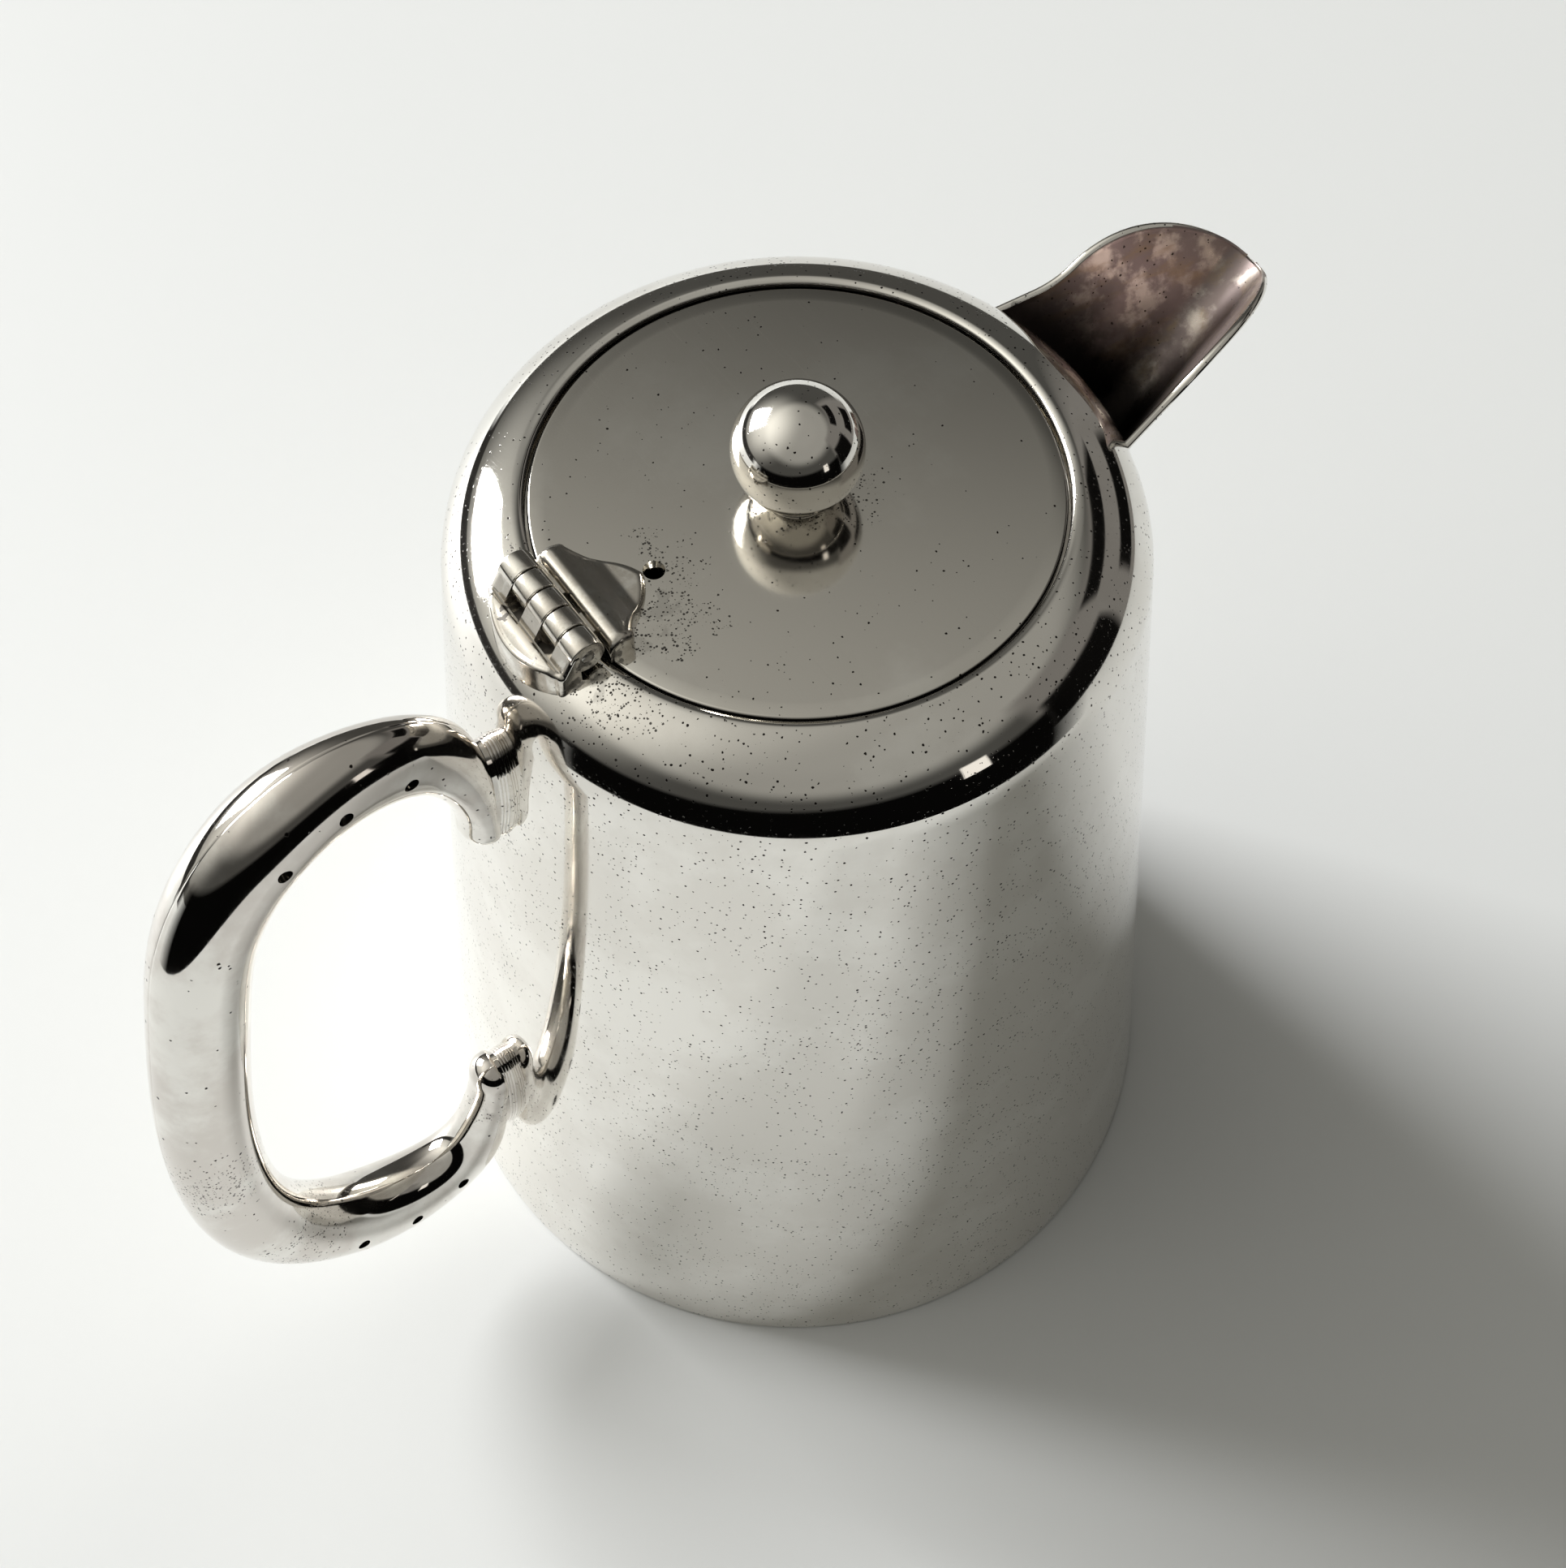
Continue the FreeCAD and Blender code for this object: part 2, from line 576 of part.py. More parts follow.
def handleLoft(path, first, last, thin):
    """Loft along part of the path, given in lengths from its start, thinner by a wall."""
    total = path.length()
    sections = []
    for number in range(HANDLE_SECTIONS):
        # Sections crowd towards both ends, where the tips are rounded.
        share = (1 - math.cos(math.pi * number / (HANDLE_SECTIONS - 1))) / 2
        along = first + (last - first) * share
        back = total - along
        deepening = (ease(along, d.swellStart, d.upperDepthLength)
                     * ease(back, d.swellStart, d.lowerDepthLength))
        widening = (ease(along, d.upperWidthStart, d.upperWidthLength)
                    * ease(back, d.lowerWidthStart, d.lowerWidthLength))
        depth = d.endDepth.value + (d.gripDepth.value - d.endDepth.value) * deepening
        width = d.endWidth.value + (d.gripWidth.value - d.endWidth.value) * widening
        tip = min(1, TIP_START + min(along, back) / d.endWidth.value)
        rounding = math.sqrt(1 - (1 - tip) ** 2)
        parameter = path.parameterAtDistance(along)
        tangent = Vector(*path.tangent(parameter)[0])
        normal = tangent.cross(Vector(0, 1, 0))
        ring = Part.Circle(Vector(), Vector(0, 0, 1), 1).toShape()
        matrix = FreeCAD.Matrix()
        matrix.scale(depth * rounding - thin, width * rounding - thin, 1)
        turn = FreeCAD.Placement(path.value(parameter), FreeCAD.Rotation(normal, Vector(0, 1, 0), tangent))
        sections.append(Part.Wire(ring.transformGeometry(turn.toMatrix() * matrix)))
    return Part.makeLoft(sections, True, False)


def makeHandle(sockets):
    """Hollow handle in two halves, left (+Y) and right (-Y), with solid ends and vent holes."""
    path = handlePath()
    total = path.length()
    outer = doc.addObject("Part::Feature", "handle_outside")
    outer.Shape = handleLoft(path, 0, total, 0)
    hollow = doc.addObject("Part::Feature", "handle_hollow")
    hollow.Shape = handleLoft(path, d.upperHollow.value, total - d.lowerHollow.value, d.handleSheet.value)
    vents = []
    for firstX, height in ((d.wallTopRadius + d.upperVentOut, crestHeight),
                           (d.baseRadius + d.lowerVentOut, d.armHeight)):
        for number in range(VENTS):
            x = firstX + d.ventPitch * number
            across = Part.LineSegment(Vector(-x.value, 0, height.value - 2 * d.gripDepth.value),
                                      Vector(-x.value, 0, height.value + 2 * d.gripDepth.value))
            crossing = path.intersectCC(across)[0]
            hole = cylinder(f"vent_{len(vents)}", d.ventRadius, d.gripWidth * 4)
            hole.Placement = FreeCAD.Placement(Vector(-x.value, 2 * d.gripWidth.value, crossing.Z),
                                               FreeCAD.Rotation(Vector(1, 0, 0), 90))
            vents.append(hole)
    tools = doc.addObject("Part::MultiFuse", "handle_cuts")
    tools.Shapes = vents + [hollow] + sockets
    reach = wallAt(d.reachHeight) + d.reachOut + d.gripDepth * 2
    halves = []
    for label, low in (("handle_left_half", zero), ("handle_right_half", -(d.gripWidth * 2))):
        side = doc.addObject("Part::Box", f"{label}_side")
        side.setExpression("Length", reach.text)
        side.setExpression("Width", (d.gripWidth * 2).text)
        side.setExpression("Height", (crestHeight + d.gripDepth * 2).text)
        place(side, x=-reach, y=low)
        half = combine("Part::Common", f"{label}_blank", outer, side)
        halves.append(combine("Part::Cut", label, half, tools))
    return halves


def addKnuckles(body, first, count, bore):
    """Every second knuckle of the hinge, from the given one on, and the hole for the pin."""
    start = knucklePitch * first - d.hingeHalf + d.knuckleGap / 2
    sketch = newSketch(body, "XZ_Plane", start)
    drawCircle(sketch, -hingeX, hingeZ, d.barrelRadius)
    knuckle = pad(body, sketch, knucklePitch - d.knuckleGap)
    repeat(body, knuckle, sketch, knucklePitch * 2, count)
    hole = newSketch(body, "XZ_Plane")
    drawCircle(hole, -hingeX, hingeZ, bore)
    pocket(body, hole, d.hingeHalf * 4, symmetric=True)


def makeBodyLeaf(bodyForm):
    """Half-moon block on the shoulder with a falling top and the three fixed knuckles."""
    body = newBody("hinge_body_block")
    innerX = -(hingeX + d.barrelRadius / 2)
    endX = -(hingeX + d.leafEnd)
    edgeArc = archRadius(d.hingeHalf, d.leafReach - d.leafEnd)
    top = hingeZ - d.leafTop
    foot = newSketch(body, "XY_Plane", d.wallTopHeight)
    drawOutline(foot, [(innerX, -d.hingeHalf), (innerX, d.hingeHalf), (endX, d.hingeHalf),
                       (endX, -d.hingeHalf)], {2: (edgeArc, 1)})
    pad(body, foot, top - d.wallTopHeight)
    fall = newSketch(body, "XZ_Plane")
    outX = -(hingeX + d.leafReach)
    crownX = endX + d.barrelRadius / 4
    drawOutline(fall, [(crownX, top), (outX, top - d.leafFall), (outX - d.sheet, top - d.leafFall),
                       (outX - d.sheet, top + d.sheet), (crownX, top + d.sheet)],
                {0: (d.leafReach, 1)})
    pocket(body, fall, d.hingeHalf * 4, symmetric=True)
    # Room for the lid's two knuckles.
    room = newSketch(body, "XZ_Plane", knucklePitch - d.hingeHalf)
    drawCircle(room, -hingeX, hingeZ, d.barrelRadius + d.knuckleClear)
    notch = pocket(body, room, knucklePitch, reversed=True)
    repeat(body, notch, room, knucklePitch * 2, KNUCKLES // 2)
    addKnuckles(body, 0, KNUCKLES // 2 + 1, d.pinRadius + d.pinFit)
    return combine("Part::Cut", "hinge_body_leaf", body, bodyForm)


def makeLidLeaf():
    """Bracket-shaped leaf on the lid: pointed plate, round bar and the two turning knuckles."""
    body = newBody("hinge_lid_leaf")
    barOut = -(hingeX - d.barrelRadius - d.barGap)
    barIn = barOut + d.barWidth
    waistX = d.lidLeafTurn - hingeX
    tipX = d.lidLeafReach - hingeX
    plate = newSketch(body, "XY_Plane", lidTop)
    drawOutline(plate, [(barOut, -d.hingeHalf), (barIn, -d.hingeHalf), (waistX, -d.lidLeafWaist),
                        (tipX, zero), (waistX, d.lidLeafWaist), (barIn, d.hingeHalf),
                        (barOut, d.hingeHalf)],
                {1: (d.hingeHalf, -1), 2: (d.hingeHalf, 1), 3: (d.hingeHalf, 1), 4: (d.hingeHalf, -1)})
    pad(body, plate, d.lidLeafThick)
    bar = newSketch(body, "XZ_Plane")
    sideTop = lidTop + d.barHeight
    drawOutline(bar, [(barOut, lidTop), (barIn, lidTop), (barIn, sideTop), (barOut, sideTop)],
                {2: (d.barCrown, 1)})
    pad(body, bar, d.hingeHalf * 2, symmetric=True)
    start = knucklePitch - d.hingeHalf + d.knuckleGap / 2
    web = newSketch(body, "XZ_Plane", start)
    webTop = sideTop
    drawOutline(web, [(-hingeX, webTop - d.webThick), (barIn - d.barWidth / 2, webTop - d.webThick),
                      (barIn - d.barWidth / 2, webTop), (-hingeX, webTop)])
    arm = pad(body, web, knucklePitch - d.knuckleGap)
    repeat(body, arm, web, knucklePitch * 2, KNUCKLES // 2)
    addKnuckles(body, 1, KNUCKLES // 2, d.pinRadius + d.pinRun)
    return body


def makeHingePin():
    pin = cylinder("hinge_pin", d.pinRadius, d.hingeHalf * 2)
    pin.Placement = FreeCAD.Placement(Vector(0, 0, 0), FreeCAD.Rotation(Vector(1, 0, 0), 90))
    place(pin, -hingeX, d.hingeHalf, hingeZ)
    return pin


bodyForm = makeBodyForm()
upperSocket = makeSocket("upper_socket", upperMount, bodyForm)
lowerSocket = makeSocket("lower_socket", d.lowerMount, bodyForm)
bezelOuter = ledgeInner - d.bezelGap
pieces = [
    makeBodyShell(),
    makeBasePlate(),
    makeMouthRing(),
    makeSpout(bodyForm),
    upperSocket,
    lowerSocket,
    *makeHandle([upperSocket, lowerSocket]),
    makeBodyLeaf(bodyForm),
    makeHingePin(),
    makeLidPlate(),
    makeRing("lid_bezel", bezelOuter - d.bezelThick, bezelOuter, lidUnder - d.bezelDepth, lidUnder),
    makeLidLeaf(),
    makeRing("knob_collar", studHole, d.neckRadius, lidTop, ballSeat, d.neckRadius - d.neckTaper),
    makeKnobBall(),
    *makeKnobFixing(),
]
doc.recompute()

for item in doc.Objects:
    if "Invalid" in item.State or "Error" in item.State:
        raise RuntimeError(f"{item.Label} failed: {item.State}")
os.makedirs("parts", exist_ok=True)
for piece in pieces:
    shape = piece.Shape
    if shape.isNull() or not shape.isValid() or len(shape.Solids) != 1:
        raise RuntimeError(f"{piece.Label} has no single valid solid")
    shape.exportStep(f"parts/{piece.Label}.step")
    print(f"{piece.Label}: {shape.Volume:.1f} mm3")
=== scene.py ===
import itertools
import json
import math
import bmesh
import bpy
from mathutils import Matrix, Vector

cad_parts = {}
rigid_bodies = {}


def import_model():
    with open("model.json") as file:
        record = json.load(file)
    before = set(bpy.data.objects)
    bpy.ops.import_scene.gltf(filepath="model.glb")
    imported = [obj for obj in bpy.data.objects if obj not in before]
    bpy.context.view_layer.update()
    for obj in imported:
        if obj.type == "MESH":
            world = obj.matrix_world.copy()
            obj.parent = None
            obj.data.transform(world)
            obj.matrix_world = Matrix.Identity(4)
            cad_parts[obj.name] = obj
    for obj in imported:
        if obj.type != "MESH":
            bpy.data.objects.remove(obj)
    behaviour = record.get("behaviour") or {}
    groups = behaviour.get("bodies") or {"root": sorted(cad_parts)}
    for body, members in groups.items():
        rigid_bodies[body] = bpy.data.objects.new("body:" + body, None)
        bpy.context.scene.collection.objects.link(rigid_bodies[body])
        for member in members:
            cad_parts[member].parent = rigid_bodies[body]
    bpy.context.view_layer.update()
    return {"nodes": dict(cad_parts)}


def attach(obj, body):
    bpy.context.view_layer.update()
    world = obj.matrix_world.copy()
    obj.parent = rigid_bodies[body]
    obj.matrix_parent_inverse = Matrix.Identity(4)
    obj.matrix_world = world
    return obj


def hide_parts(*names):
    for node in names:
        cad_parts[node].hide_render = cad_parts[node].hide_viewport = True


for leftover in list(bpy.data.objects):
    bpy.data.objects.remove(leftover)
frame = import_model()
print("frame loaded,", len(frame["nodes"]), "nodes")

scene = bpy.context.scene
scene.view_settings.view_transform = "Standard"
mm = 0.001  # sizes of the pieces are in millimetres

# the pot's own lines, shared by the pieces that sit on it
pot = {
    "baseRadius": 53.0,
    "wallTopRadius": 40.6,
    "wallTop": 121.0,
    "shoulderArc": 11.4,
    "sheet": 1.0,
    "mouthRadius": 30.35,
    "lidRecess": 0.7,
    "lidThick": 1.0,
    "lidGap": 0.35,
}
taper = (pot["baseRadius"] - pot["wallTopRadius"]) / pot["wallTop"]
lean = math.hypot(taper, 1.0)
arcX = pot["wallTopRadius"] - pot["shoulderArc"] / lean
arcZ = pot["wallTop"] - pot["shoulderArc"] * taper / lean
arcIn = pot["shoulderArc"] - pot["sheet"]
rimZ = arcZ + math.sqrt(pot["shoulderArc"] ** 2 - (pot["mouthRadius"] - arcX) ** 2)
lidTop = rimZ - pot["lidRecess"]
lidUnder = lidTop - pot["lidThick"]
pinX = -31.9
pinZ = rimZ + 2.3
pinRadius = 0.75


def wallAt(height):
    return pot["baseRadius"] - taper * height


def shoulderZ(radius):
    return arcZ + math.sqrt(max(0.0, pot["shoulderArc"] ** 2 - (radius - arcX) ** 2))


def onArc(radius, angle):
    return arcX + radius * math.cos(angle), arcZ + radius * math.sin(angle)


def outsideBy(point):
    # how far a point is outside the pot's outer skin, below zero inside it
    radius, z = math.hypot(point[0], point[1]), point[2]
    fromArc = Vector((radius - arcX, z - arcZ))
    if fromArc.y * lean > pot["shoulderArc"] * taper and fromArc.x > 0:
        return fromArc.length - pot["shoulderArc"]
    return (radius - wallAt(z)) / lean


def smooth(low, high, value):
    share = min(1.0, max(0.0, (value - low) / (high - low)))
    return share * share * (3.0 - 2.0 * share)


# node helpers, for shader and geometry trees alike
def addNode(tree, kind, props=None, feeds=None):
    made = tree.nodes.new(kind)
    for key, value in (props or {}).items():
        setattr(made, key, value)
    for key, value in (feeds or {}).items():
        if isinstance(value, bpy.types.NodeSocket):
            tree.links.new(value, made.inputs[key])
        else:
            made.inputs[key].default_value = value
    return made


def calc(tree, operation, first, second=0.0, third=0.0):
    return addNode(tree, "ShaderNodeMath", {"operation": operation},
                   {0: first, 1: second, 2: third}).outputs[0]


def mathStep(operation):
    return lambda tree, *feeds: calc(tree, operation, *feeds)


times, plus, minus = mathStep("MULTIPLY"), mathStep("ADD"), mathStep("SUBTRACT")
timesPlus, larger = mathStep("MULTIPLY_ADD"), mathStep("MAXIMUM")


def vectorCalc(tree, operation, first, second=(0.0, 0.0, 0.0)):
    made = addNode(tree, "ShaderNodeVectorMath", {"operation": operation}, {0: first, 1: second})
    return made.outputs["Value" if operation in ("LENGTH", "DISTANCE", "DOT_PRODUCT") else "Vector"]


def scaled(tree, vector, amount):
    return addNode(tree, "ShaderNodeVectorMath", {"operation": "SCALE"},
                   {0: vector, "Scale": amount}).outputs["Vector"]


def ramp(tree, value, low, high, start=0.0, end=1.0, easing="SMOOTHSTEP"):
    return addNode(tree, "ShaderNodeMapRange", {"interpolation_type": easing},
                   {"Value": value, "From Min": low, "From Max": high,
                    "To Min": start, "To Max": end}).outputs["Result"]


def newGroup(name, kind, inputs, outputs):
    tree = bpy.data.node_groups.new(name, kind)
    for direction, sockets in (("INPUT", inputs), ("OUTPUT", outputs)):
        for label, socketType, value in sockets:
            socket = tree.interface.new_socket(label, in_out=direction,
                                               socket_type="NodeSocket" + socketType)
            if value is not None:
                socket.default_value = value
    return tree, addNode(tree, "NodeGroupInput").outputs, addNode(tree, "NodeGroupOutput").inputs


# shader groups that several finishes share
def newMask(name, **values):
    inputs = [("Vector", "Vector", None)]
    for label, value in values.items():
        inputs.append((label, "Vector" if isinstance(value, tuple) else "Float", value))
    return newGroup(name, "ShaderNodeTree", inputs, [("Mask", "Float", None)])


def addNoise(tree, vector, scale, detail, **feeds):
    return addNode(tree, "ShaderNodeTexNoise", None,
                   {"Vector": vector, "Scale": scale, "Detail": detail, **feeds})


def addCells(tree, vector, scale):
    # distance to each cell's middle, and two chance values for the cell
    cells = addNode(tree, "ShaderNodeTexVoronoi", None, {"Vector": vector, "Scale": scale})
    luck = addNode(tree, "ShaderNodeSeparateColor", None, {"Color": cells.outputs["Color"]})
    return cells.outputs["Distance"], luck.outputs["Red"], luck.outputs["Green"]


def makePepperPits():
    look = {"wobbleScale": 2600.0, "wobble": (0.2, 0.2, 0.3), "patchScale": 70.0,
            "patchEdge": (0.35, 0.65), "leastSize": 0.25, "softEdge": 0.25}
    tree, given, result = newMask("pepperPits", Spacing=1.6, Size=0.2, Amount=0.3, Patchiness=0.5)
    wobble = addNoise(tree, given["Vector"], look["wobbleScale"], 1.0)
    shifted = vectorCalc(tree, "MULTIPLY_ADD", wobble.outputs["Color"], Vector(look["wobble"]) * mm)
    tree.links.new(given["Vector"], shifted.node.inputs[2])
    distance, chance, size = addCells(tree, shifted, calc(tree, "DIVIDE", 1.0 / mm, given["Spacing"]))
    patches = addNoise(tree, given["Vector"], look["patchScale"], 3.0).outputs["Fac"]
    spread = timesPlus(tree, ramp(tree, patches, *look["patchEdge"], -1.0, 1.0), given["Patchiness"], 1.0)
    chosen = calc(tree, "LESS_THAN", chance, times(tree, given["Amount"], spread))
    radius = times(tree, given["Size"], timesPlus(tree, size, 1.0 - look["leastSize"], look["leastSize"]))
    spot = ramp(tree, minus(tree, radius, distance), 0.0, times(tree, given["Size"], look["softEdge"]))
    tree.links.new(times(tree, spot, chosen), result["Mask"])
    return tree


def makeBuffLines():
    # turn and seed of each set of lines
    look = {"sets": ((0.35, 0.0), (1.25, 3.1), (2.3, 7.7)), "stretch": (5200.0, 70.0, 400.0),
            "edge": (0.62, 0.78)}
    tree, given, result = newMask("buffLines", Fineness=1.0)
    lines = None
    for turn, seed in look["sets"]:
        across = addNode(tree, "ShaderNodeMapping", None,
                         {"Vector": given["Vector"], "Rotation": (0.0, 0.0, turn),
                          "Location": (seed, seed, seed), "Scale": look["stretch"]})
        hair = addNoise(tree, across.outputs["Vector"], given["Fineness"], 2.0)
        thin = ramp(tree, hair.outputs["Fac"], *look["edge"])
        lines = thin if lines is None else larger(tree, lines, thin)
    tree.links.new(lines, result["Mask"])
    return tree


def makeTarnishBloom():
    look = {"bareEdge": 0.85, "coverRange": 0.7, "softness": 0.18, "grain": 0.62}
    tree, given, result = newMask("tarnishBloom", Scale=90.0, Cover=0.4)
    cloud = addNoise(tree, given["Vector"], given["Scale"], 6.0, Roughness=look["grain"])
    edge = minus(tree, look["bareEdge"], times(tree, given["Cover"], look["coverRange"]))
    patches = ramp(tree, cloud.outputs["Fac"], minus(tree, edge, look["softness"]), edge)
    tree.links.new(patches, result["Mask"])
    return tree


def makeGrimeNear():
    # dirt specks left by polishing round one place, crowding towards its core, and a film of painted shade
    # darkening the crevice there
    look = {"cloudScale": 420.0, "stray": 12.0, "speckScale": 3300.0, "crowding": 0.8, "leastSpeck": 0.15,
            "speckRange": 0.5, "speckEdge": 0.12, "shadeFilmStray": 0.5, "shadeFilmEdge": (0.25, 1.05)}
    tree, given, result = newMask("specksAndShadeNear", Place=(0.0, 0.0, 0.0), Core=2.0 * mm, Reach=6.0 * mm, Film=0.0)
    away = vectorCalc(tree, "DISTANCE", given["Vector"], given["Place"])
    cloud = addNoise(tree, given["Vector"], look["cloudScale"], 4.0)
    loose = minus(tree, cloud.outputs["Fac"], 0.5)
    near = ramp(tree, timesPlus(tree, loose, look["stray"] * mm, away), given["Reach"], given["Core"])
    distance, chance, luck = addCells(tree, given["Vector"], look["speckScale"])
    chosen = calc(tree, "LESS_THAN", chance, times(tree, near, look["crowding"]))
    size = timesPlus(tree, calc(tree, "POWER", luck, 2.0), look["speckRange"], look["leastSpeck"])
    specks = times(tree, chosen, ramp(tree, minus(tree, size, distance), 0.0, look["speckEdge"]))
    # painted shade: a dark film over the crevice near the place
    shadeFilm = ramp(tree, timesPlus(tree, loose, look["shadeFilmStray"], near), *look["shadeFilmEdge"])
    tree.links.new(larger(tree, specks, times(tree, shadeFilm, given["Film"])), result["Mask"])
    return tree


pepperPits = makePepperPits()
buffLines = makeBuffLines()
tarnishBloom = makeTarnishBloom()
specksAndShadeNear = makeGrimeNear()
print("shader groups ready")


def useGroup(tree, group, feeds):
    return addNode(tree, "ShaderNodeGroup", {"node_tree": group}, feeds).outputs[0]


def mixColour(tree, mask, first, second):
    return addNode(tree, "ShaderNodeMix", {"data_type": "RGBA"}, {0: mask, 6: first, 7: second}).outputs[2]


def bareMaterial(name):
    material = bpy.data.materials.new(name)
    material.use_nodes = True
    material.node_tree.nodes.clear()
    return material, material.node_tree


def newMaterial(name, metallic):
    material, tree = bareMaterial(name)
    shader = addNode(tree, "ShaderNodeBsdfPrincipled", None, {"Metallic": metallic})
    addNode(tree, "ShaderNodeOutputMaterial", None, {"Surface": shader.outputs["BSDF"]})
    return material, tree, shader, addNode(tree, "ShaderNodeTexCoord").outputs["Object"]


def addBump(tree, shader, height):
    bump = addNode(tree, "ShaderNodeBump", None, {"Strength": 1.0, "Distance": 1.0, "Height": height})
    tree.links.new(bump.outputs["Normal"], shader.inputs["Normal"])


def makePlate(name, look):
    material, tree, shader, place = newMaterial(name, 1.0)
    pits = useGroup(tree, pepperPits,
                    {"Vector": place, "Spacing": look["pitSpacing"], "Size": look["pitSize"],
                     "Amount": look["pitAmount"], "Patchiness": look["pitPatches"]})
    lines = useGroup(tree, buffLines, {"Vector": place, "Fineness": look["lineFineness"]})
    bloom = useGroup(tree, tarnishBloom,
                     {"Vector": place, "Scale": look["bloomScale"], "Cover": look["bloomCover"]})
    colour = mixColour(tree, times(tree, bloom, look["bloomTint"]), look["silver"], look["bloomColour"])
    dark = pits
    # dirt specks round each listed place, with a film of painted shade in the crevice there
    for spot, core, reach, shadeFilm in look["specksAndShade"]:
        mask = useGroup(tree, specksAndShadeNear, {"Vector": place, "Place": Vector(spot) * mm, "Core": core * mm,
                                          "Reach": reach * mm, "Film": shadeFilm})
        dark = larger(tree, dark, times(tree, mask, look["specksAndShadeTint"]))
    # painted shade darkening the gap round the lid, above the lid's underside
    if look["ring"]:
        outward = vectorCalc(tree, "LENGTH", vectorCalc(tree, "MULTIPLY", place, (1.0, 1.0, 0.0)))
        level = addNode(tree, "ShaderNodeSeparateXYZ", None, {"Vector": place}).outputs["Z"]
        start, end = look["ring"]
        ring = ramp(tree, outward, start * mm, end * mm, 0.0, look["gapShadeTint"])
        ring = times(tree, ring, calc(tree, "GREATER_THAN", level, lidUnder * mm))
        dark = larger(tree, dark, ring)
    # pits, dirt specks and painted shade all darken towards one colour
    tree.links.new(mixColour(tree, dark, colour, look["pitDirtAndShadeColour"]), shader.inputs["Base Color"])
    rough = timesPlus(tree, lines, look["lineRough"], look["rough"])
    rough = timesPlus(tree, bloom, look["bloomRough"], rough)
    tree.links.new(timesPlus(tree, dark, look["darkRough"], rough), shader.inputs["Roughness"])
    waves = addNoise(tree, place, look["waveScale"], 1.0)
    height = times(tree, waves.outputs["Fac"], look["waveHeight"] * mm)
    height = timesPlus(tree, lines, -look["lineDepth"] * mm, height)
    addBump(tree, shader, timesPlus(tree, pits, -look["pitDepth"] * mm, height))
    return material


polishedLook = {
    "silver": (0.85, 0.83, 0.785, 1.0), "rough": 0.03,
    "pitSpacing": 0.62, "pitSize": 0.28, "pitAmount": 0.92, "pitPatches": 0.7,
    "pitDirtAndShadeColour": (0.022, 0.019, 0.017, 1.0), "pitDepth": 0.004, "darkRough": 0.25,
    "lineFineness": 0.8, "lineRough": 0.04, "lineDepth": 0.0002,
    "bloomScale": 55.0, "bloomCover": 0.42, "bloomTint": 0.16, "bloomRough": 0.04,
    "bloomColour": (0.42, 0.37, 0.31, 1.0),
    # place, core, reach, strength of the painted shade film in the crevice there; dirt specks gather round
    # each place
    "specksAndShade": [((-30.6, -10.4, 131.2), 0.5, 8.0, 0.0), ((-31.2, -8.0, 131.0), 0.3, 2.2, 0.3),
              ((-31.5, 9.0, 131.0), 0.5, 5.0, 0.0), ((-37.6, 0.0, 127.4), 0.5, 3.0, 0.0),
              ((40.0, -10.8, 124.0), 0.5, 2.4, 0.5), ((40.0, 10.8, 124.0), 0.5, 2.4, 0.5),
              ((-44.0, 0.0, 99.0), 0.5, 5.0, 0.0), ((-51.5, 0.0, 24.5), 0.5, 5.0, 0.3)],
    "specksAndShadeTint": 0.9, "waveScale": 45.0, "waveHeight": 0.012,
    # painted shade in the gap round the lid begins and ends at these radii
    "ring": (30.62, 30.4), "gapShadeTint": 0.92,
}
# the handle's films paint shade where it meets its sockets; the specks further out are dirt
handleLook = dict(polishedLook, ring=None, pitAmount=0.14, pitSpacing=1.0, pitPatches=0.95, bloomCover=0.46,
                  bloomTint=0.38, bloomColour=(0.42, 0.35, 0.31, 1.0), waveHeight=0.02, waveScale=60.0,
                  specksAndShade=[((-43.3, 0.0, 107.0), 1.0, 5.5, 0.35), ((-51.3, 0.0, 33.5), 1.0, 5.5, 0.35),
                         ((-90.0, -2.0, 62.0), 0.5, 11.0, 0.0), ((-84.0, -2.0, 33.0), 0.5, 11.0, 0.0)])
# the lid's ring paints shade at its edge by the gap; its films paint shade round the knob's foot and near the
# hinge leaf
lidLook = dict(polishedLook, ring=(29.7, 29.95), silver=(0.77, 0.75, 0.70, 1.0), rough=0.04, pitAmount=0.4,
               pitSpacing=0.85, pitSize=0.2, lineRough=0.06, bloomScale=38.0, bloomCover=0.46, bloomTint=0.2,
               bloomRough=0.05, waveHeight=0.008,
               specksAndShade=[((0.0, 0.0, 130.4), 3.9, 5.2, 0.2), ((4.5, -3.5, 130.4), 1.0, 5.5, 0.0),
                      ((-21.4, -5.0, 130.5), 0.8, 2.2, 0.2), ((-22.0, -6.0, 130.5), 1.5, 6.0, 0.0),
                      ((-18.6, -6.5, 130.5), 0.5, 5.0, 0.0), ((-17.5, -1.0, 130.5), 0.3, 4.0, 0.0),
                      ((-17.8, 3.2, 130.5), 0.2, 2.6, 0.0), ((-25.6, -7.6, 130.5), 0.8, 2.4, 0.2)])
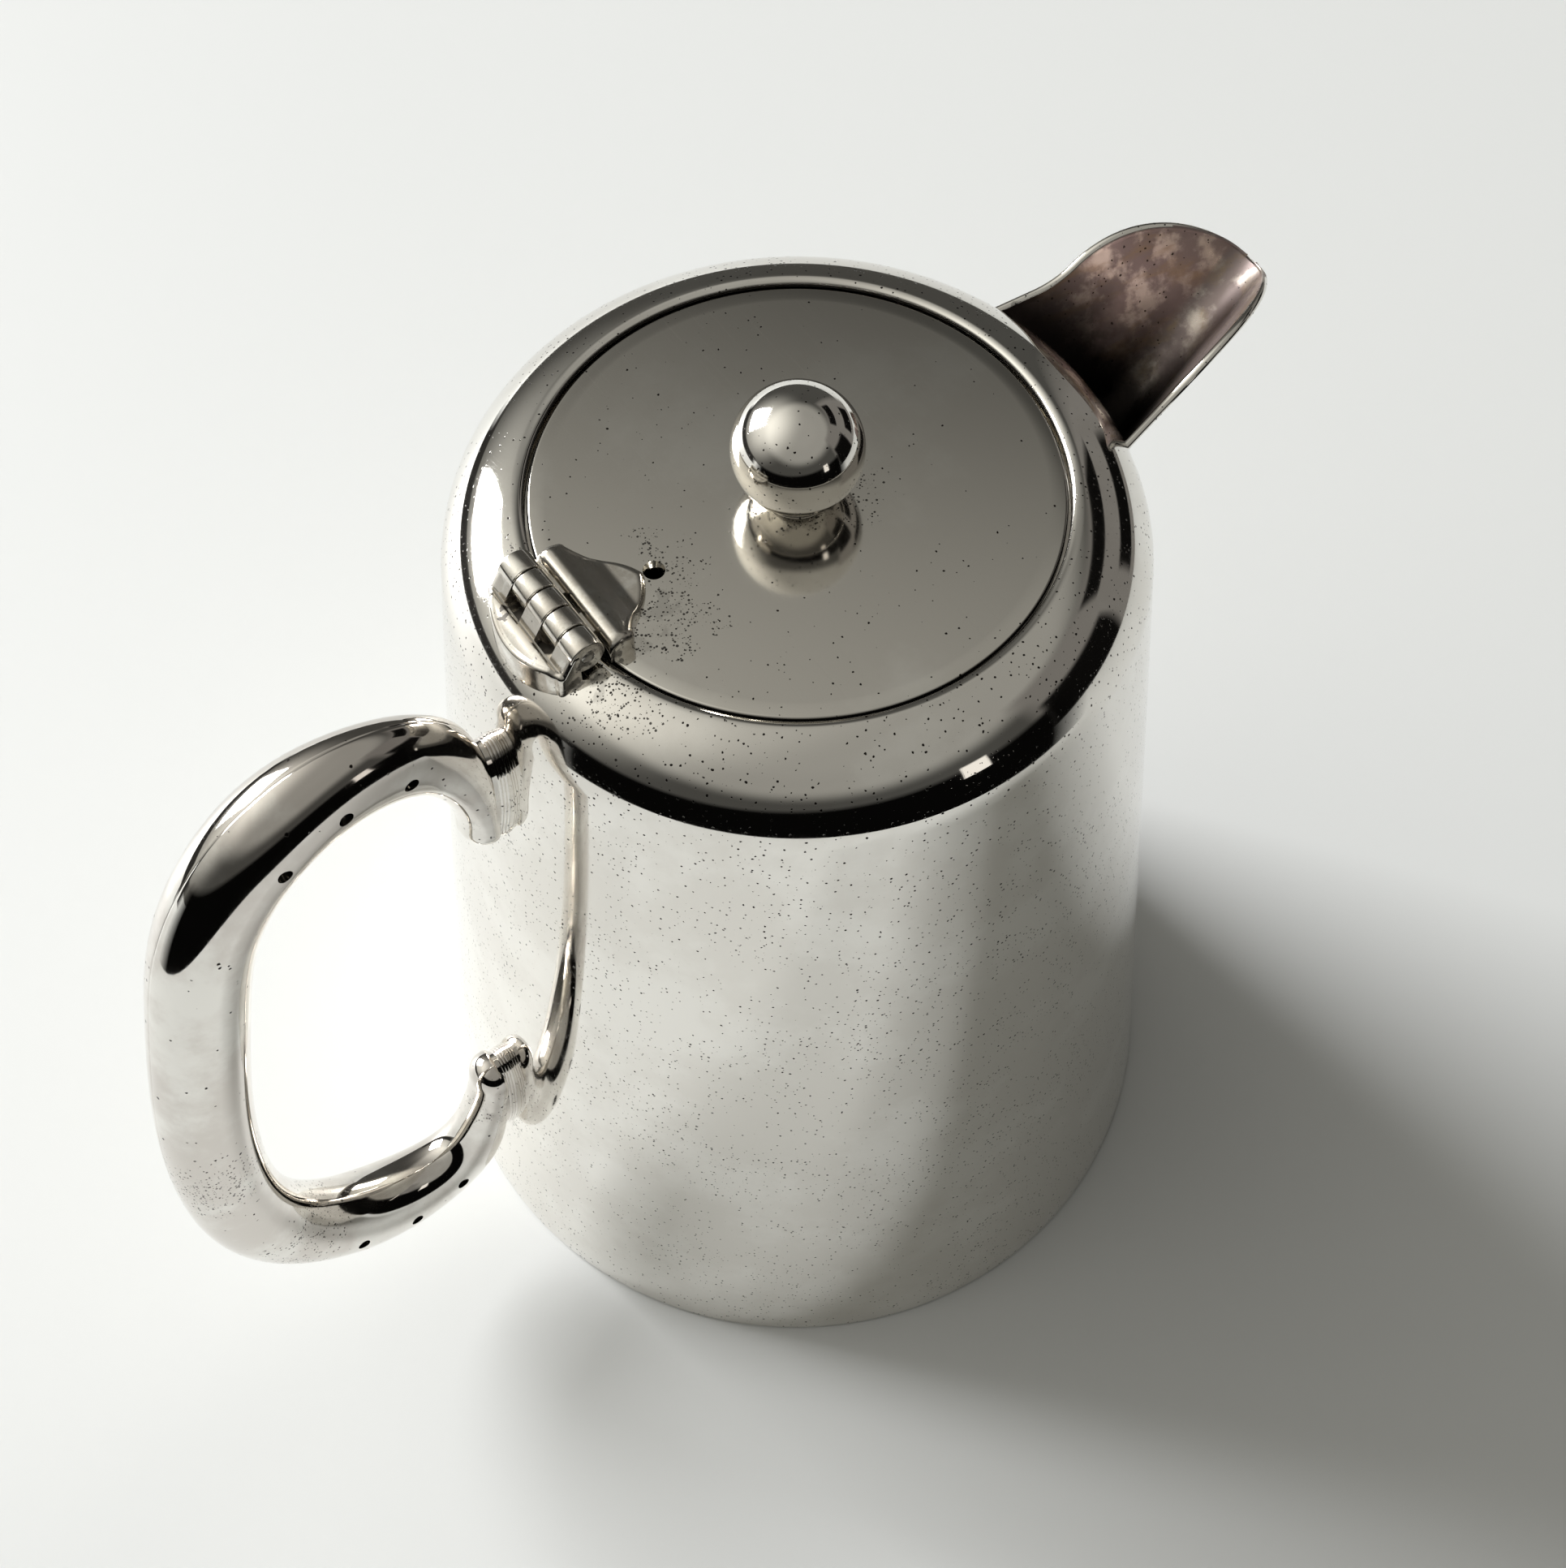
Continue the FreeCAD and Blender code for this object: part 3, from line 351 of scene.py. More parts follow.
# the hinge films paint shade in the crevices between knuckles and leaves; the brown bloom is patina
leafLook = dict(polishedLook, ring=None, silver=(0.79, 0.765, 0.71, 1.0), rough=0.1, pitAmount=0.3,
                pitSize=0.2, lineRough=0.1, lineDepth=0.0005, bloomScale=260.0, bloomTint=0.45,
                bloomColour=(0.36, 0.31, 0.25, 1.0), bloomRough=0.1,
                specksAndShade=[((-32.6, -7.8, 131.6), 0.6, 2.2, 0.8), ((-32.6, 7.8, 131.6), 0.6, 2.2, 0.8),
                       ((-34.3, -3.0, 130.8), 1.0, 1.6, 1.0), ((-34.3, 3.0, 130.8), 1.0, 1.6, 1.0),
                       ((-22.0, -5.4, 130.6), 0.5, 1.8, 0.8), ((-27.6, -8.0, 130.8), 0.5, 1.6, 0.8)])
innerLook = dict(polishedLook, ring=None, silver=(0.46, 0.41, 0.35, 1.0), rough=0.3, pitAmount=0.2,
                 bloomScale=40.0, bloomCover=0.75, bloomTint=0.7, bloomColour=(0.13, 0.085, 0.05, 1.0),
                 bloomRough=0.2, specksAndShade=[])
polishedPlate = makePlate("polishedPlate", polishedLook)
knobPlate = makePlate("knobPlate", dict(polishedLook, ring=None))
handlePlate = makePlate("handlePlate", handleLook)
satinLid = makePlate("satinLid", lidLook)
hingeMetal = makePlate("hingeMetal", leafLook)
teaStainedInside = makePlate("teaStainedInside", innerLook)
bareMetal = makePlate("bareMetal", dict(leafLook, silver=(0.5, 0.48, 0.45, 1.0), rough=0.3, specksAndShade=[]))


def makeSpoutTarnish():
    look = {
        "pale": (0.53, 0.47, 0.42, 1.0), "plum": (0.30, 0.245, 0.235, 1.0),
        # the black serves the pits and the painted shade at the root
        "brown": (0.34, 0.26, 0.19, 1.0), "pitAndShadeBlack": (0.022, 0.019, 0.018, 1.0),
        "pour": (0.729, 0.0, 0.685), "pourTurn": 0.754,
        "clearFrom": 126.0, "shadeBlackTo": 112.5, "ragged": 3.0, "runStretch": (60.0, 420.0, 420.0),
        "runEdge": (0.5, 0.72), "runHeight": 0.03, "bloomHeight": 0.012, "pitTint": 0.85,
        "rough": 0.26, "bloomRough": 0.14, "coarseRough": 0.1,
        "fineBloom": {"Scale": 260.0, "Cover": 0.45}, "coarseBloom": {"Scale": 70.0, "Cover": 0.4},
        "pits": {"Spacing": 0.6, "Size": 0.3, "Amount": 0.3, "Patchiness": 0.8},
    }
    material, tree, shader, place = newMaterial("spoutTarnishAndShade", 1.0)
    bloom = useGroup(tree, tarnishBloom, {"Vector": place, **look["fineBloom"]})
    coarse = useGroup(tree, tarnishBloom, {"Vector": place, **look["coarseBloom"]})
    streak = addNode(tree, "ShaderNodeMapping", None,
                     {"Vector": place, "Rotation": (0.0, look["pourTurn"], 0.0),
                      "Scale": look["runStretch"]})
    runs = addNoise(tree, streak.outputs["Vector"], 1.0, 4.0).outputs["Fac"]
    pits = useGroup(tree, pepperPits, {"Vector": place, **look["pits"]})
    # painted shade: darker to black towards the spout's deep root, measured along the pour direction, the way
    # the tea runs
    out = vectorCalc(tree, "DOT_PRODUCT", place, look["pour"])
    out = timesPlus(tree, minus(tree, coarse, 0.5), -look["ragged"] * mm, out)
    depth = ramp(tree, out, look["clearFrom"] * mm, look["shadeBlackTo"] * mm)
    colour = mixColour(tree, bloom, look["pale"], look["plum"])
    colour = mixColour(tree, ramp(tree, runs, *look["runEdge"]), colour, look["brown"])
    # the painted shade at the root goes over the tarnish
    colour = mixColour(tree, depth, colour, look["pitAndShadeBlack"])
    colour = mixColour(tree, times(tree, pits, look["pitTint"]), colour, look["pitAndShadeBlack"])
    tree.links.new(colour, shader.inputs["Base Color"])
    rough = timesPlus(tree, bloom, look["bloomRough"], look["rough"])
    tree.links.new(timesPlus(tree, coarse, look["coarseRough"], rough), shader.inputs["Roughness"])
    height = times(tree, bloom, look["bloomHeight"] * mm)
    addBump(tree, shader, timesPlus(tree, runs, look["runHeight"] * mm, height))
    return material


spoutTarnishAndShade = makeSpoutTarnish()
print("materials ready")


# mesh helpers
arcSteps = 4
weld = 0.0005 * mm
sharpAngle = 32.0


def softCorners(corners, closed):
    # corners are (radius, height, rounding); a rounding turns the corner into an arc
    points = []
    count = len(corners)
    for number, corner in enumerate(corners):
        here = Vector(corner[:2])
        rounding = corner[2] if len(corner) > 2 else 0.0
        if rounding == 0.0 or (not closed and number in (0, count - 1)):
            points.append(tuple(here))
            continue
        back = (Vector(corners[number - 1][:2]) - here).normalized()
        ahead = (Vector(corners[(number + 1) % count][:2]) - here).normalized()
        half = back.angle(ahead) / 2.0
        reach = rounding / math.tan(half)
        centre = here + (back + ahead).normalized() * (rounding / math.sin(half))
        first, last = here + back * reach - centre, here + ahead * reach - centre
        sweep = first.angle_signed(last)
        for step in range(arcSteps + 1):
            turned = Matrix.Rotation(-sweep * step / arcSteps, 2) @ first
            points.append(tuple(centre + turned))
    return points


def addTurned(mesh, outline, closed=True, steps=192, along="Z", centre=(0.0, 0.0, 0.0)):
    rings = []
    for radius, height in outline:
        ring = []
        for step in range(steps if radius > 0.0 else 1):  # one point where the outline meets the axis
            angle = 2.0 * math.pi * step / steps
            spot = (radius * math.cos(angle), radius * math.sin(angle), height)
            if along == "Y":
                spot = (spot[0], height, -spot[1])
            ring.append(mesh.verts.new([(c + s) * mm for c, s in zip(centre, spot)]))
        rings.append(ring)
    pairs = list(zip(rings, rings[1:])) + ([(rings[-1], rings[0])] if closed else [])
    for lower, upper in pairs:
        if len(lower) == 1 and len(upper) == 1:
            continue
        for step in range(steps):
            ahead = (step + 1) % steps
            corners = [lower[step % len(lower)], lower[ahead % len(lower)],
                       upper[ahead % len(upper)], upper[step % len(upper)]]
            mesh.faces.new(list(dict.fromkeys(corners)))


def addTube(mesh, loops):
    # a skin over rings of points in millimetres, closed at both ends
    rings = [[mesh.verts.new([c * mm for c in spot]) for spot in loop] for loop in loops]
    around = len(rings[0])
    for here, following in zip(rings, rings[1:]):
        for place in range(around):
            right = (place + 1) % around
            mesh.faces.new((here[place], here[right], following[right], following[place]))
    mesh.faces.new(rings[0])
    mesh.faces.new(list(reversed(rings[-1])))


def smoothMesh(data, sharp=sharpAngle):
    data.polygons.foreach_set("use_smooth", [True] * len(data.polygons))
    data.set_sharp_from_angle(angle=math.radians(sharp))


def finishMesh(mesh, name, sharp=sharpAngle):
    bmesh.ops.remove_doubles(mesh, verts=mesh.verts, dist=weld)
    bmesh.ops.dissolve_degenerate(mesh, edges=mesh.edges, dist=weld)
    bmesh.ops.recalc_face_normals(mesh, faces=mesh.faces)
    data = bpy.data.meshes.new(name)
    mesh.to_mesh(data)
    mesh.free()
    smoothMesh(data, sharp)
    return data


def addPiece(name, data, materials, body, slot, *nodes):
    data.materials.clear()
    for material in materials:
        data.materials.append(material)
    piece = bpy.data.objects.new(name, data)
    scene.collection.objects.link(piece)
    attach(piece, body)
    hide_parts(*nodes)


def runNodes(data, tree, values):
    # evaluates a geometry tree on a plain mesh and hands back the plain result
    holder = bpy.data.objects.new("holder", data)
    scene.collection.objects.link(holder)
    modifier = holder.modifiers.new("shape", "NODES")
    modifier.node_group = tree
    for item in tree.interface.items_tree:
        if item.item_type == "SOCKET" and item.in_out == "INPUT" and item.name in values:
            modifier[item.identifier] = values[item.name]
    bpy.context.view_layer.update()
    graph = bpy.context.evaluated_depsgraph_get()
    made = bpy.data.meshes.new_from_object(holder.evaluated_get(graph))
    holder.modifiers.clear()
    bpy.data.objects.remove(holder)
    return made


# geometry trees
holeTurns = 48


def dressed(tree, geometry, finish):
    plain = addNode(tree, "GeometryNodeRealizeInstances", None, {"Geometry": geometry})
    return addNode(tree, "GeometryNodeSetMaterial", None,
                   {"Geometry": plain.outputs[0], "Material": finish}).outputs[0]


def bored(tree, solid, points, drill, turn, finish):
    # the solid with a drill taken out at every point
    drills = addNode(tree, "GeometryNodeInstanceOnPoints", None,
                     {"Points": points, "Instance": drill, "Rotation": turn})
    whole = addNode(tree, "GeometryNodeRealizeInstances", None, {"Geometry": drills.outputs[0]})
    cut = addNode(tree, "GeometryNodeMeshBoolean", {"operation": "DIFFERENCE", "solver": "EXACT"},
                  {"Mesh 1": solid, "Mesh 2": whole.outputs[0]})
    return dressed(tree, cut.outputs["Mesh"], finish)


def makePerforations():
    # a triangle of round holes, bored through the input mesh
    inputs = [("Plate", "Geometry", None), ("Rows", "Int", 1), ("Pitch", "Float", 4.0 * mm),
              ("Row Pitch", "Float", 4.0 * mm), ("Radius", "Float", 1.0 * mm), ("Depth", "Float", 10.0 * mm),
              ("Flare", "Float", 0.0), ("Place", "Vector", (0.0, 0.0, 0.0)),
              ("Turn", "Vector", (0.0, 0.0, 0.0)), ("Finish", "Material", None)]
    tree, given, result = newGroup("perforations", "GeometryNodeTree", inputs,
                                   [("Pierced", "Geometry", None)])
    index = addNode(tree, "GeometryNodeInputIndex").outputs["Index"]
    rows = given["Rows"]
    row = calc(tree, "FLOOR", calc(tree, "DIVIDE", plus(tree, index, 0.5), rows))
    column = minus(tree, index, times(tree, row, rows))
    lastColumn = minus(tree, minus(tree, rows, 1.0), row)
    sideways = times(tree, minus(tree, column, times(tree, lastColumn, 0.5)), given["Pitch"])
    down = times(tree, row, times(tree, given["Row Pitch"], -1.0))
    spot = addNode(tree, "ShaderNodeCombineXYZ", None, {"Y": sideways, "Z": down}).outputs["Vector"]
    points = addNode(tree, "GeometryNodePoints", None,
                     {"Count": times(tree, rows, rows),
                      "Position": vectorCalc(tree, "ADD", spot, given["Place"])})
    spare = calc(tree, "GREATER_THAN", column, plus(tree, lastColumn, 0.5))
    kept = addNode(tree, "GeometryNodeDeleteGeometry", {"domain": "POINT"},
                   {"Geometry": points.outputs[0], "Selection": spare})
    drill = addNode(tree, "GeometryNodeMeshCylinder", {"fill_type": "NGON"},
                    {"Vertices": holeTurns, "Radius": given["Radius"], "Depth": given["Depth"]})
    spot = addNode(tree, "GeometryNodeInputPosition").outputs["Position"]
    above = addNode(tree, "ShaderNodeSeparateXYZ", None, {"Vector": spot}).outputs["Z"]
    flared = scaled(tree, vectorCalc(tree, "MULTIPLY", spot, (1.0, 1.0, 0.0)),
                    times(tree, above, given["Flare"]))
    shaped = addNode(tree, "GeometryNodeSetPosition", None,
                     {"Geometry": drill.outputs["Mesh"], "Offset": flared})
    pierced = bored(tree, given["Plate"], kept.outputs[0], shaped.outputs[0], given["Turn"], given["Finish"])
    tree.links.new(pierced, result["Pierced"])
    return tree


def makeRowOfCopies():
    # the input mesh, repeated along one direction
    inputs = [("One", "Geometry", None), ("Count", "Int", 2), ("Step", "Vector", (0.0, 6.0 * mm, 0.0)),
              ("Finish", "Material", None)]
    tree, given, result = newGroup("rowOfCopies", "GeometryNodeTree", inputs, [("Row", "Geometry", None)])
    places = addNode(tree, "GeometryNodeMeshLine", {"mode": "OFFSET"},
                     {"Count": given["Count"], "Offset": given["Step"]})
    copies = addNode(tree, "GeometryNodeInstanceOnPoints", None,
                     {"Points": places.outputs["Mesh"], "Instance": given["One"]})
    tree.links.new(dressed(tree, copies.outputs[0], given["Finish"]), result["Row"])
    return tree


perforations = makePerforations()
rowOfCopies = makeRowOfCopies()
print("geometry trees ready")


# pot body
def makeBodyShell():
    look = {"footRounding": 0.45, "lip": 1.45, "lipDrop": 0.8, "lipEdge": 0.2, "lipSteps": 12,
            "shoulderSteps": 26, "turns": 256,
            "wallRows": (4.0, 30.0, 60.0, 85.0, 103.5), "innerRows": (103.5, 60.0, 4.0, 0.0),
            "strainerRows": 4, "strainerTop": 118.5, "strainerPitch": 4.2, "strainerRowPitch": 3.9,
            "strainerRadius": 1.3, "strainerDepth": 12.0, "stainFrom": -0.6}
    outline = [(pot["baseRadius"], 0.0, look["footRounding"])]
    outline += [(wallAt(z), z) for z in look["wallRows"]]
    startAngle = math.atan(taper)
    endAngle = math.acos((pot["mouthRadius"] - arcX) / pot["shoulderArc"])
    lipAngle = math.acos((pot["mouthRadius"] + look["lip"] - arcX) / pot["shoulderArc"])
    for step in range(look["shoulderSteps"]):
        angle = startAngle + (lipAngle - startAngle) * step / look["shoulderSteps"]
        outline.append(onArc(pot["shoulderArc"], angle))
    for step in range(look["lipSteps"] + 1):  # soft lip of the mouth
        angle = math.pi / 2.0 * step / look["lipSteps"]
        radius = pot["mouthRadius"] + look["lip"] * (1.0 - math.sin(angle))
        outline.append((radius, shoulderZ(radius) - look["lipDrop"] * (1.0 - math.cos(angle))))
    mouthZ = arcZ + math.sqrt(arcIn ** 2 - (pot["mouthRadius"] - arcX) ** 2)
    outline.append((pot["mouthRadius"], mouthZ, look["lipEdge"]))
    for step in range(1, look["lipSteps"] + 1):
        angle = endAngle + (startAngle - endAngle) * step / look["lipSteps"]
        outline.append(onArc(arcIn, angle))
    outline += [(wallAt(z) - pot["sheet"] * lean, z) for z in look["innerRows"]]
    mesh = bmesh.new()
    addTurned(mesh, softCorners(outline, True), steps=look["turns"])
    data = runNodes(finishMesh(mesh, "bodyShell"), perforations, {
        "Rows": look["strainerRows"], "Pitch": look["strainerPitch"] * mm,
        "Row Pitch": look["strainerRowPitch"] * mm,
        "Radius": look["strainerRadius"] * mm, "Depth": look["strainerDepth"] * mm,
        "Place": (pot["wallTopRadius"] * mm, 0.0, look["strainerTop"] * mm),
        "Turn": (0.0, math.pi / 2.0, 0.0)})
    smoothMesh(data)
    addPiece("bodyShell", data, [polishedPlate, teaStainedInside], "pot", "polished_plate", "body_shell")
    for face in data.polygons:
        spot = Vector(face.center) / mm
        face.material_index = int(outsideBy(spot) < look["stainFrom"] and spot.z < lidUnder)


def makeTurnedPiece(name, corners, material, body, slot, node, steps=160, closed=True):
    mesh = bmesh.new()
    addTurned(mesh, softCorners(corners, closed), closed, steps)
    addPiece(name, finishMesh(mesh, name), [material], body, slot, node)


def makeBasePlate():
    look = {"thick": 1.2, "gap": 0.02, "edge": 0.2}
    foot = pot["baseRadius"] - pot["sheet"] * lean - look["gap"]
    makeTurnedPiece("basePlate", [
        (0.0, 0.0), (foot, 0.0, look["edge"]), (foot - look["thick"] * taper, look["thick"], look["edge"]),
        (0.0, look["thick"])], teaStainedInside, "pot", "polished_plate", "base_plate", closed=False)


def makeMouthRing():
    look = {"inner": 28.6, "lip": 0.9, "thick": 1.2, "depth": 4.0, "edge": 0.3, "corner": 0.25, "bite": 0.1}
    outer = look["inner"] + look["lip"]
    low, shelf = lidUnder - look["depth"], lidUnder - look["thick"]
    seats = [(arcX + math.sqrt(arcIn ** 2 - (z - arcZ) ** 2) + look["bite"], z) for z in (shelf, lidUnder)]
    makeTurnedPiece("mouthRing", [
        (look["inner"], lidUnder, look["edge"]), (look["inner"], low, look["edge"]),
        (outer, low, look["edge"]), (outer, shelf, look["corner"])] + seats,
        hingeMetal, "pot", "polished_plate", "mouth_ring")


makeBodyShell()
makeBasePlate()
makeMouthRing()
print("pot body ready")


# spout
def makeSpout():
    look = {"tipX": 66.9, "tipZ": 126.5, "rise": 43.2, "floorArc": 3.5, "wall": 1.0, "rootLean": 19.5,
            "lipLean": 36.9, "overrun": 3.0, "rimRoot": 123.2, "bend": (46.0, 126.3), "hollow": 14.0,
            "crown": 4.0, "sink": 0.5, "seam": 0.7, "seamReach": 1.6, "seamCentre": 4.0, "seamEnd": 0.86,
            "rimRound": 0.5, "lipRound": 0.3, "lipGap": 0.02, "along": 64, "around": 56, "crowding": 0.35,
            "halvings": 40, "rimSteps": 6, "lipSteps": 4, "lipTurn": 4.2, "sharp": 40.0}
    rootX = pot["wallTopRadius"] - pot["shoulderArc"]
    endX = look["tipX"] + look["overrun"] * look["wall"]
    top = rimZ + pot["shoulderArc"]
    rise = math.tan(math.radians(look["rise"]))
    bend = Vector(look["bend"])
    chord = Vector((look["tipX"], look["tipZ"])) - bend
    radius = ((chord.length / 2.0) ** 2 + look["crown"] ** 2) / (2.0 * look["crown"])
    centre = bend + chord / 2.0 + Vector((chord.y, -chord.x)).normalized() * (radius - look["crown"])
    # the hollow touches both the straight rise and the crown
    hollow = look["hollow"]
    along = (bend - Vector((rootX, look["rimRoot"]))).normalized()
    above = Vector((-along.y, along.x))
    apart = bend + above * hollow - centre
    ahead = apart.dot(along)
    back = ahead + math.sqrt(ahead ** 2 - apart.length_squared + (radius + hollow) ** 2)
    dip = bend + above * hollow - along * back
    dipStart = dip - above * hollow
    dipEnd = dip + (centre - dip) * hollow / (radius + hollow)

    def floorAt(x):
        return look["tipZ"] - rise * (look["tipX"] - x)

    def rimAt(x):
        if x < dipStart.x:
            return look["rimRoot"] + along.y / along.x * (x - rootX)
        if x < dipEnd.x:
            return dip.y - math.sqrt(hollow ** 2 - (x - dip.x) ** 2)
        if x < look["tipX"]:
            return centre.y + math.sqrt(radius ** 2 - (x - centre.x) ** 2)
        return look["tipZ"] - (x - look["tipX"])

    def section(x, arc, share):
        # point on the channel at x, share -1 to 1 from rim to rim
        blend = (x - rootX) / (endX - rootX)
        ends = []
        for at, angle in ((rootX, look["rootLean"]), (endX, look["lipLean"])):
            flare = math.tan(math.radians(angle))
            stretch = math.hypot(flare, 1.0)
            floor = floorAt(at)
            footY = arc / stretch
            footZ = floor + look["floorArc"] - arc * flare / stretch
            ends.append((footY, footZ, footY + flare * (top - footZ),
                         math.atan2(footY, arc * flare / stretch), floor + look["floorArc"]))
        footY, footZ, topY, footAngle, middle = [a + (b - a) * blend for a, b in zip(*ends)]
        limit = rimAt(x) - look["rimRound"]
        sideLength = math.hypot(topY - footY, top - footZ)
        curved = arc * footAngle
        if limit < footZ:
            curved = arc * math.acos(min(1.0, max(-1.0, (middle - limit) / arc)))
            straight = 0.0
        else:
            straight = sideLength * (limit - footZ) / (top - footZ)
        run = abs(share) * (curved + straight)
        if run <= curved:
            y, z = arc * math.sin(run / arc), middle - arc * math.cos(run / arc)
        else:
            part = (run - curved) / sideLength
            y, z = footY + (topY - footY) * part, footZ + (top - footZ) * part
        return Vector((x, math.copysign(y, share), z))

    def skin(arc, tipX, seam):
        rows = []
        for column in range(look["around"] + 1):
            part = column / look["around"]
            crowded, even = -math.cos(math.pi * part), 2.0 * part - 1.0
            share = crowded * look["crowding"] + even * (1.0 - look["crowding"])
            low, high = rootX, look["tipX"] - look["sink"]
            for _ in range(look["halvings"]):
                middle = (low + high) / 2.0
                if outsideBy(section(middle, arc, share)) < -look["sink"]:
                    low = middle
                else:
                    high = middle
            row = []
            for step in range(look["along"] + 1):
                part = step / look["along"]
                part = 0.5 * part + 0.5 * math.sin(part * math.pi / 2.0)
                spot = section(low + (tipX - low) * part, arc, share)
                if seam:  # solder run along the root
                    swell = 1.0 - smooth(0.0, look["seamReach"], outsideBy(spot))
                    outward = Vector((0.0, spot.y, spot.z - floorAt(spot.x) - look["seamCentre"]))
                    edge = smooth(1.0, look["seamEnd"], abs(share))
                    spot = spot + outward.normalized() * look["seam"] * swell ** 3 * edge
                row.append(spot)
            rows.append(row)
        return rows

    def loopAround(outer, inner, height):
        def overRim(start, end):
            half = (start - end) / 2.0
            turns = [math.pi * k / look["rimSteps"] for k in range(1, look["rimSteps"])]
            middle = start - half
            return [middle + half * math.cos(t) + Vector((0.0, 0.0, height * math.sin(t))) for t in turns]

        return outer + overRim(outer[-1], inner[-1]) + inner[::-1] + overRim(inner[0], outer[0])

    lip = look["lipRound"]
    tipX = look["tipX"] - lip - look["lipGap"]
    chin = look["wall"] / (1.0 + rise)
    inside = skin(look["floorArc"], tipX, False)
    outside = skin(look["floorArc"] + look["wall"], tipX + chin, True)
    loops = []
    for step in range(look["along"] + 1):
        outer, inner = [row[step] for row in outside], [row[step] for row in inside]
        loops.append(loopAround(outer, inner, look["rimRound"]))
    for k in range(1, look["lipSteps"] + 1):  # rounded lip
        angle = math.pi / 2.0 * k / look["lipTurn"]
        ahead = Vector((lip * math.sin(angle), 0.0, 0.0))
        pairs = [((o + i) / 2.0 + ahead, (o - i) / 2.0 * math.cos(angle)) for o, i in zip(outer, inner)]
        loops.append(loopAround([m + h for m, h in pairs], [m - h for m, h in pairs],
                                look["rimRound"] * math.cos(angle)))
    mesh = bmesh.new()
    addTube(mesh, loops)
    data = finishMesh(mesh, "spout", look["sharp"])
    addPiece("spout", data, [polishedPlate, spoutTarnishAndShade], "pot", "tarnished_plate", "spout")
    for face in data.polygons:
        spot = Vector(face.center) / mm
        inward = Vector((0.0, -spot.y, floorAt(spot.x) + look["floorArc"] - spot.z))
        facing = inward.dot(Vector(face.normal))
        face.material_index = int(facing > 0.0 and spot.x < look["tipX"])


makeSpout()
print("spout ready")


# handle
handle = {
    "stand": 2.2, "tipTurn": 5.58, "upperTip": 99.2, "lowerTip": 41.6,
    # distance from the wall and height of each point on the middle line
    "stops": [(3.5, 111.2), (7.35, 118.6), (21.75, 124.5), (34.15, 115.5), (39.35, 97.0), (41.65, 57.0),
              (33.25, 29.8), (17.0, 19.5), (7.0, 21.8), (3.7, 28.2)],
    # sizes of the sweep, by the names of its inputs
    "sizes": {"End Depth": 1.1, "End Bulge": 3.0, "End Width": 3.5, "Grip Depth": 6.0, "Grip Width": 5.5,
              "Sheet": 1.0, "Bulge Start": 4.0, "Upper Bulge": 36.0, "Lower Bulge": 40.0,
              "Swell Start": 4.0, "Upper Depth": 29.0, "Lower Depth": 28.0,
              "Upper Width Start": 20.0, "Upper Width": 45.0, "Lower Width Start": 12.0, "Lower Width": 40.0,
              "Seam Depth": 0.05, "Seam Width": 0.14, "Seam Start": 50.0, "Seam Full": 90.0,
              "Bend Reach": 6.0, "Vent Radius": 0.9, "Vent Depth": 30.0, "Thinnest": 0.1, "Weld": 0.002},
    "rows": 180, "around": 34, "pathSteps": 48, "sharp": 38.0,
    "ventX": (-52.7, -60.9, -69.1, -60.7, -68.9, -77.1), "ventSearch": 400, "ventNear": 0.06,
    "ventTurns": 24,
    "upperSocket": 107.2, "lowerSocket": 33.0,
}


def handleStops():
    out = handle["stand"]
    stops = [(out, handle["upperTip"]), (out, handle["upperTip"] + handle["tipTurn"])] + handle["stops"]
    stops += [(out, handle["lowerTip"] - handle["tipTurn"]), (out, handle["lowerTip"])]
    return [Vector((-(wallAt(z) + away), 0.0, z)) for away, z in stops]


def smoothSlopes(points):
    # slopes of the smoothest cubic line through all points, by chord length
    gaps = [(b - a).length for a, b in zip(points, points[1:])]
    count = len(points)

    def endSlope(order):
        # slope at the first of four points of the cubic through them
        run = [0.0]
        for here, following in zip(order, order[1:]):
            run.append(run[-1] + (points[following] - points[here]).length)
        slope = Vector()
        for i, spot in enumerate(order):
            weight = 0.0
            for k in range(len(order)):
                if k != i:
                    term = 1.0 / (run[i] - run[k])
                    for m in range(len(order)):
                        if m not in (i, k):
                            term *= (run[0] - run[m]) / (run[i] - run[m])
                    weight += term
            slope += points[spot] * weight
        return slope

    diagonal = [1.0] + [2.0 * (gaps[i - 1] + gaps[i]) for i in range(1, count - 1)] + [1.0]
    slopes = [endSlope([0, 1, 2, 3])]
    for i in range(1, count - 1):
        slopes.append(3.0 * ((points[i] - points[i - 1]) * gaps[i] / gaps[i - 1]
                             + (points[i + 1] - points[i]) * gaps[i - 1] / gaps[i]))
    slopes.append(-endSlope([count - 1, count - 2, count - 3, count - 4]))
    for i in range(1, count - 1):
        share = gaps[i] / diagonal[i - 1]
        diagonal[i] -= share * (gaps[i - 2] if i > 1 else 0.0)
        slopes[i] = slopes[i] - slopes[i - 1] * share
    for i in range(count - 2, 0, -1):
        slopes[i] = (slopes[i] - slopes[i + 1] * gaps[i - 1]) / diagonal[i]
    return slopes, gaps


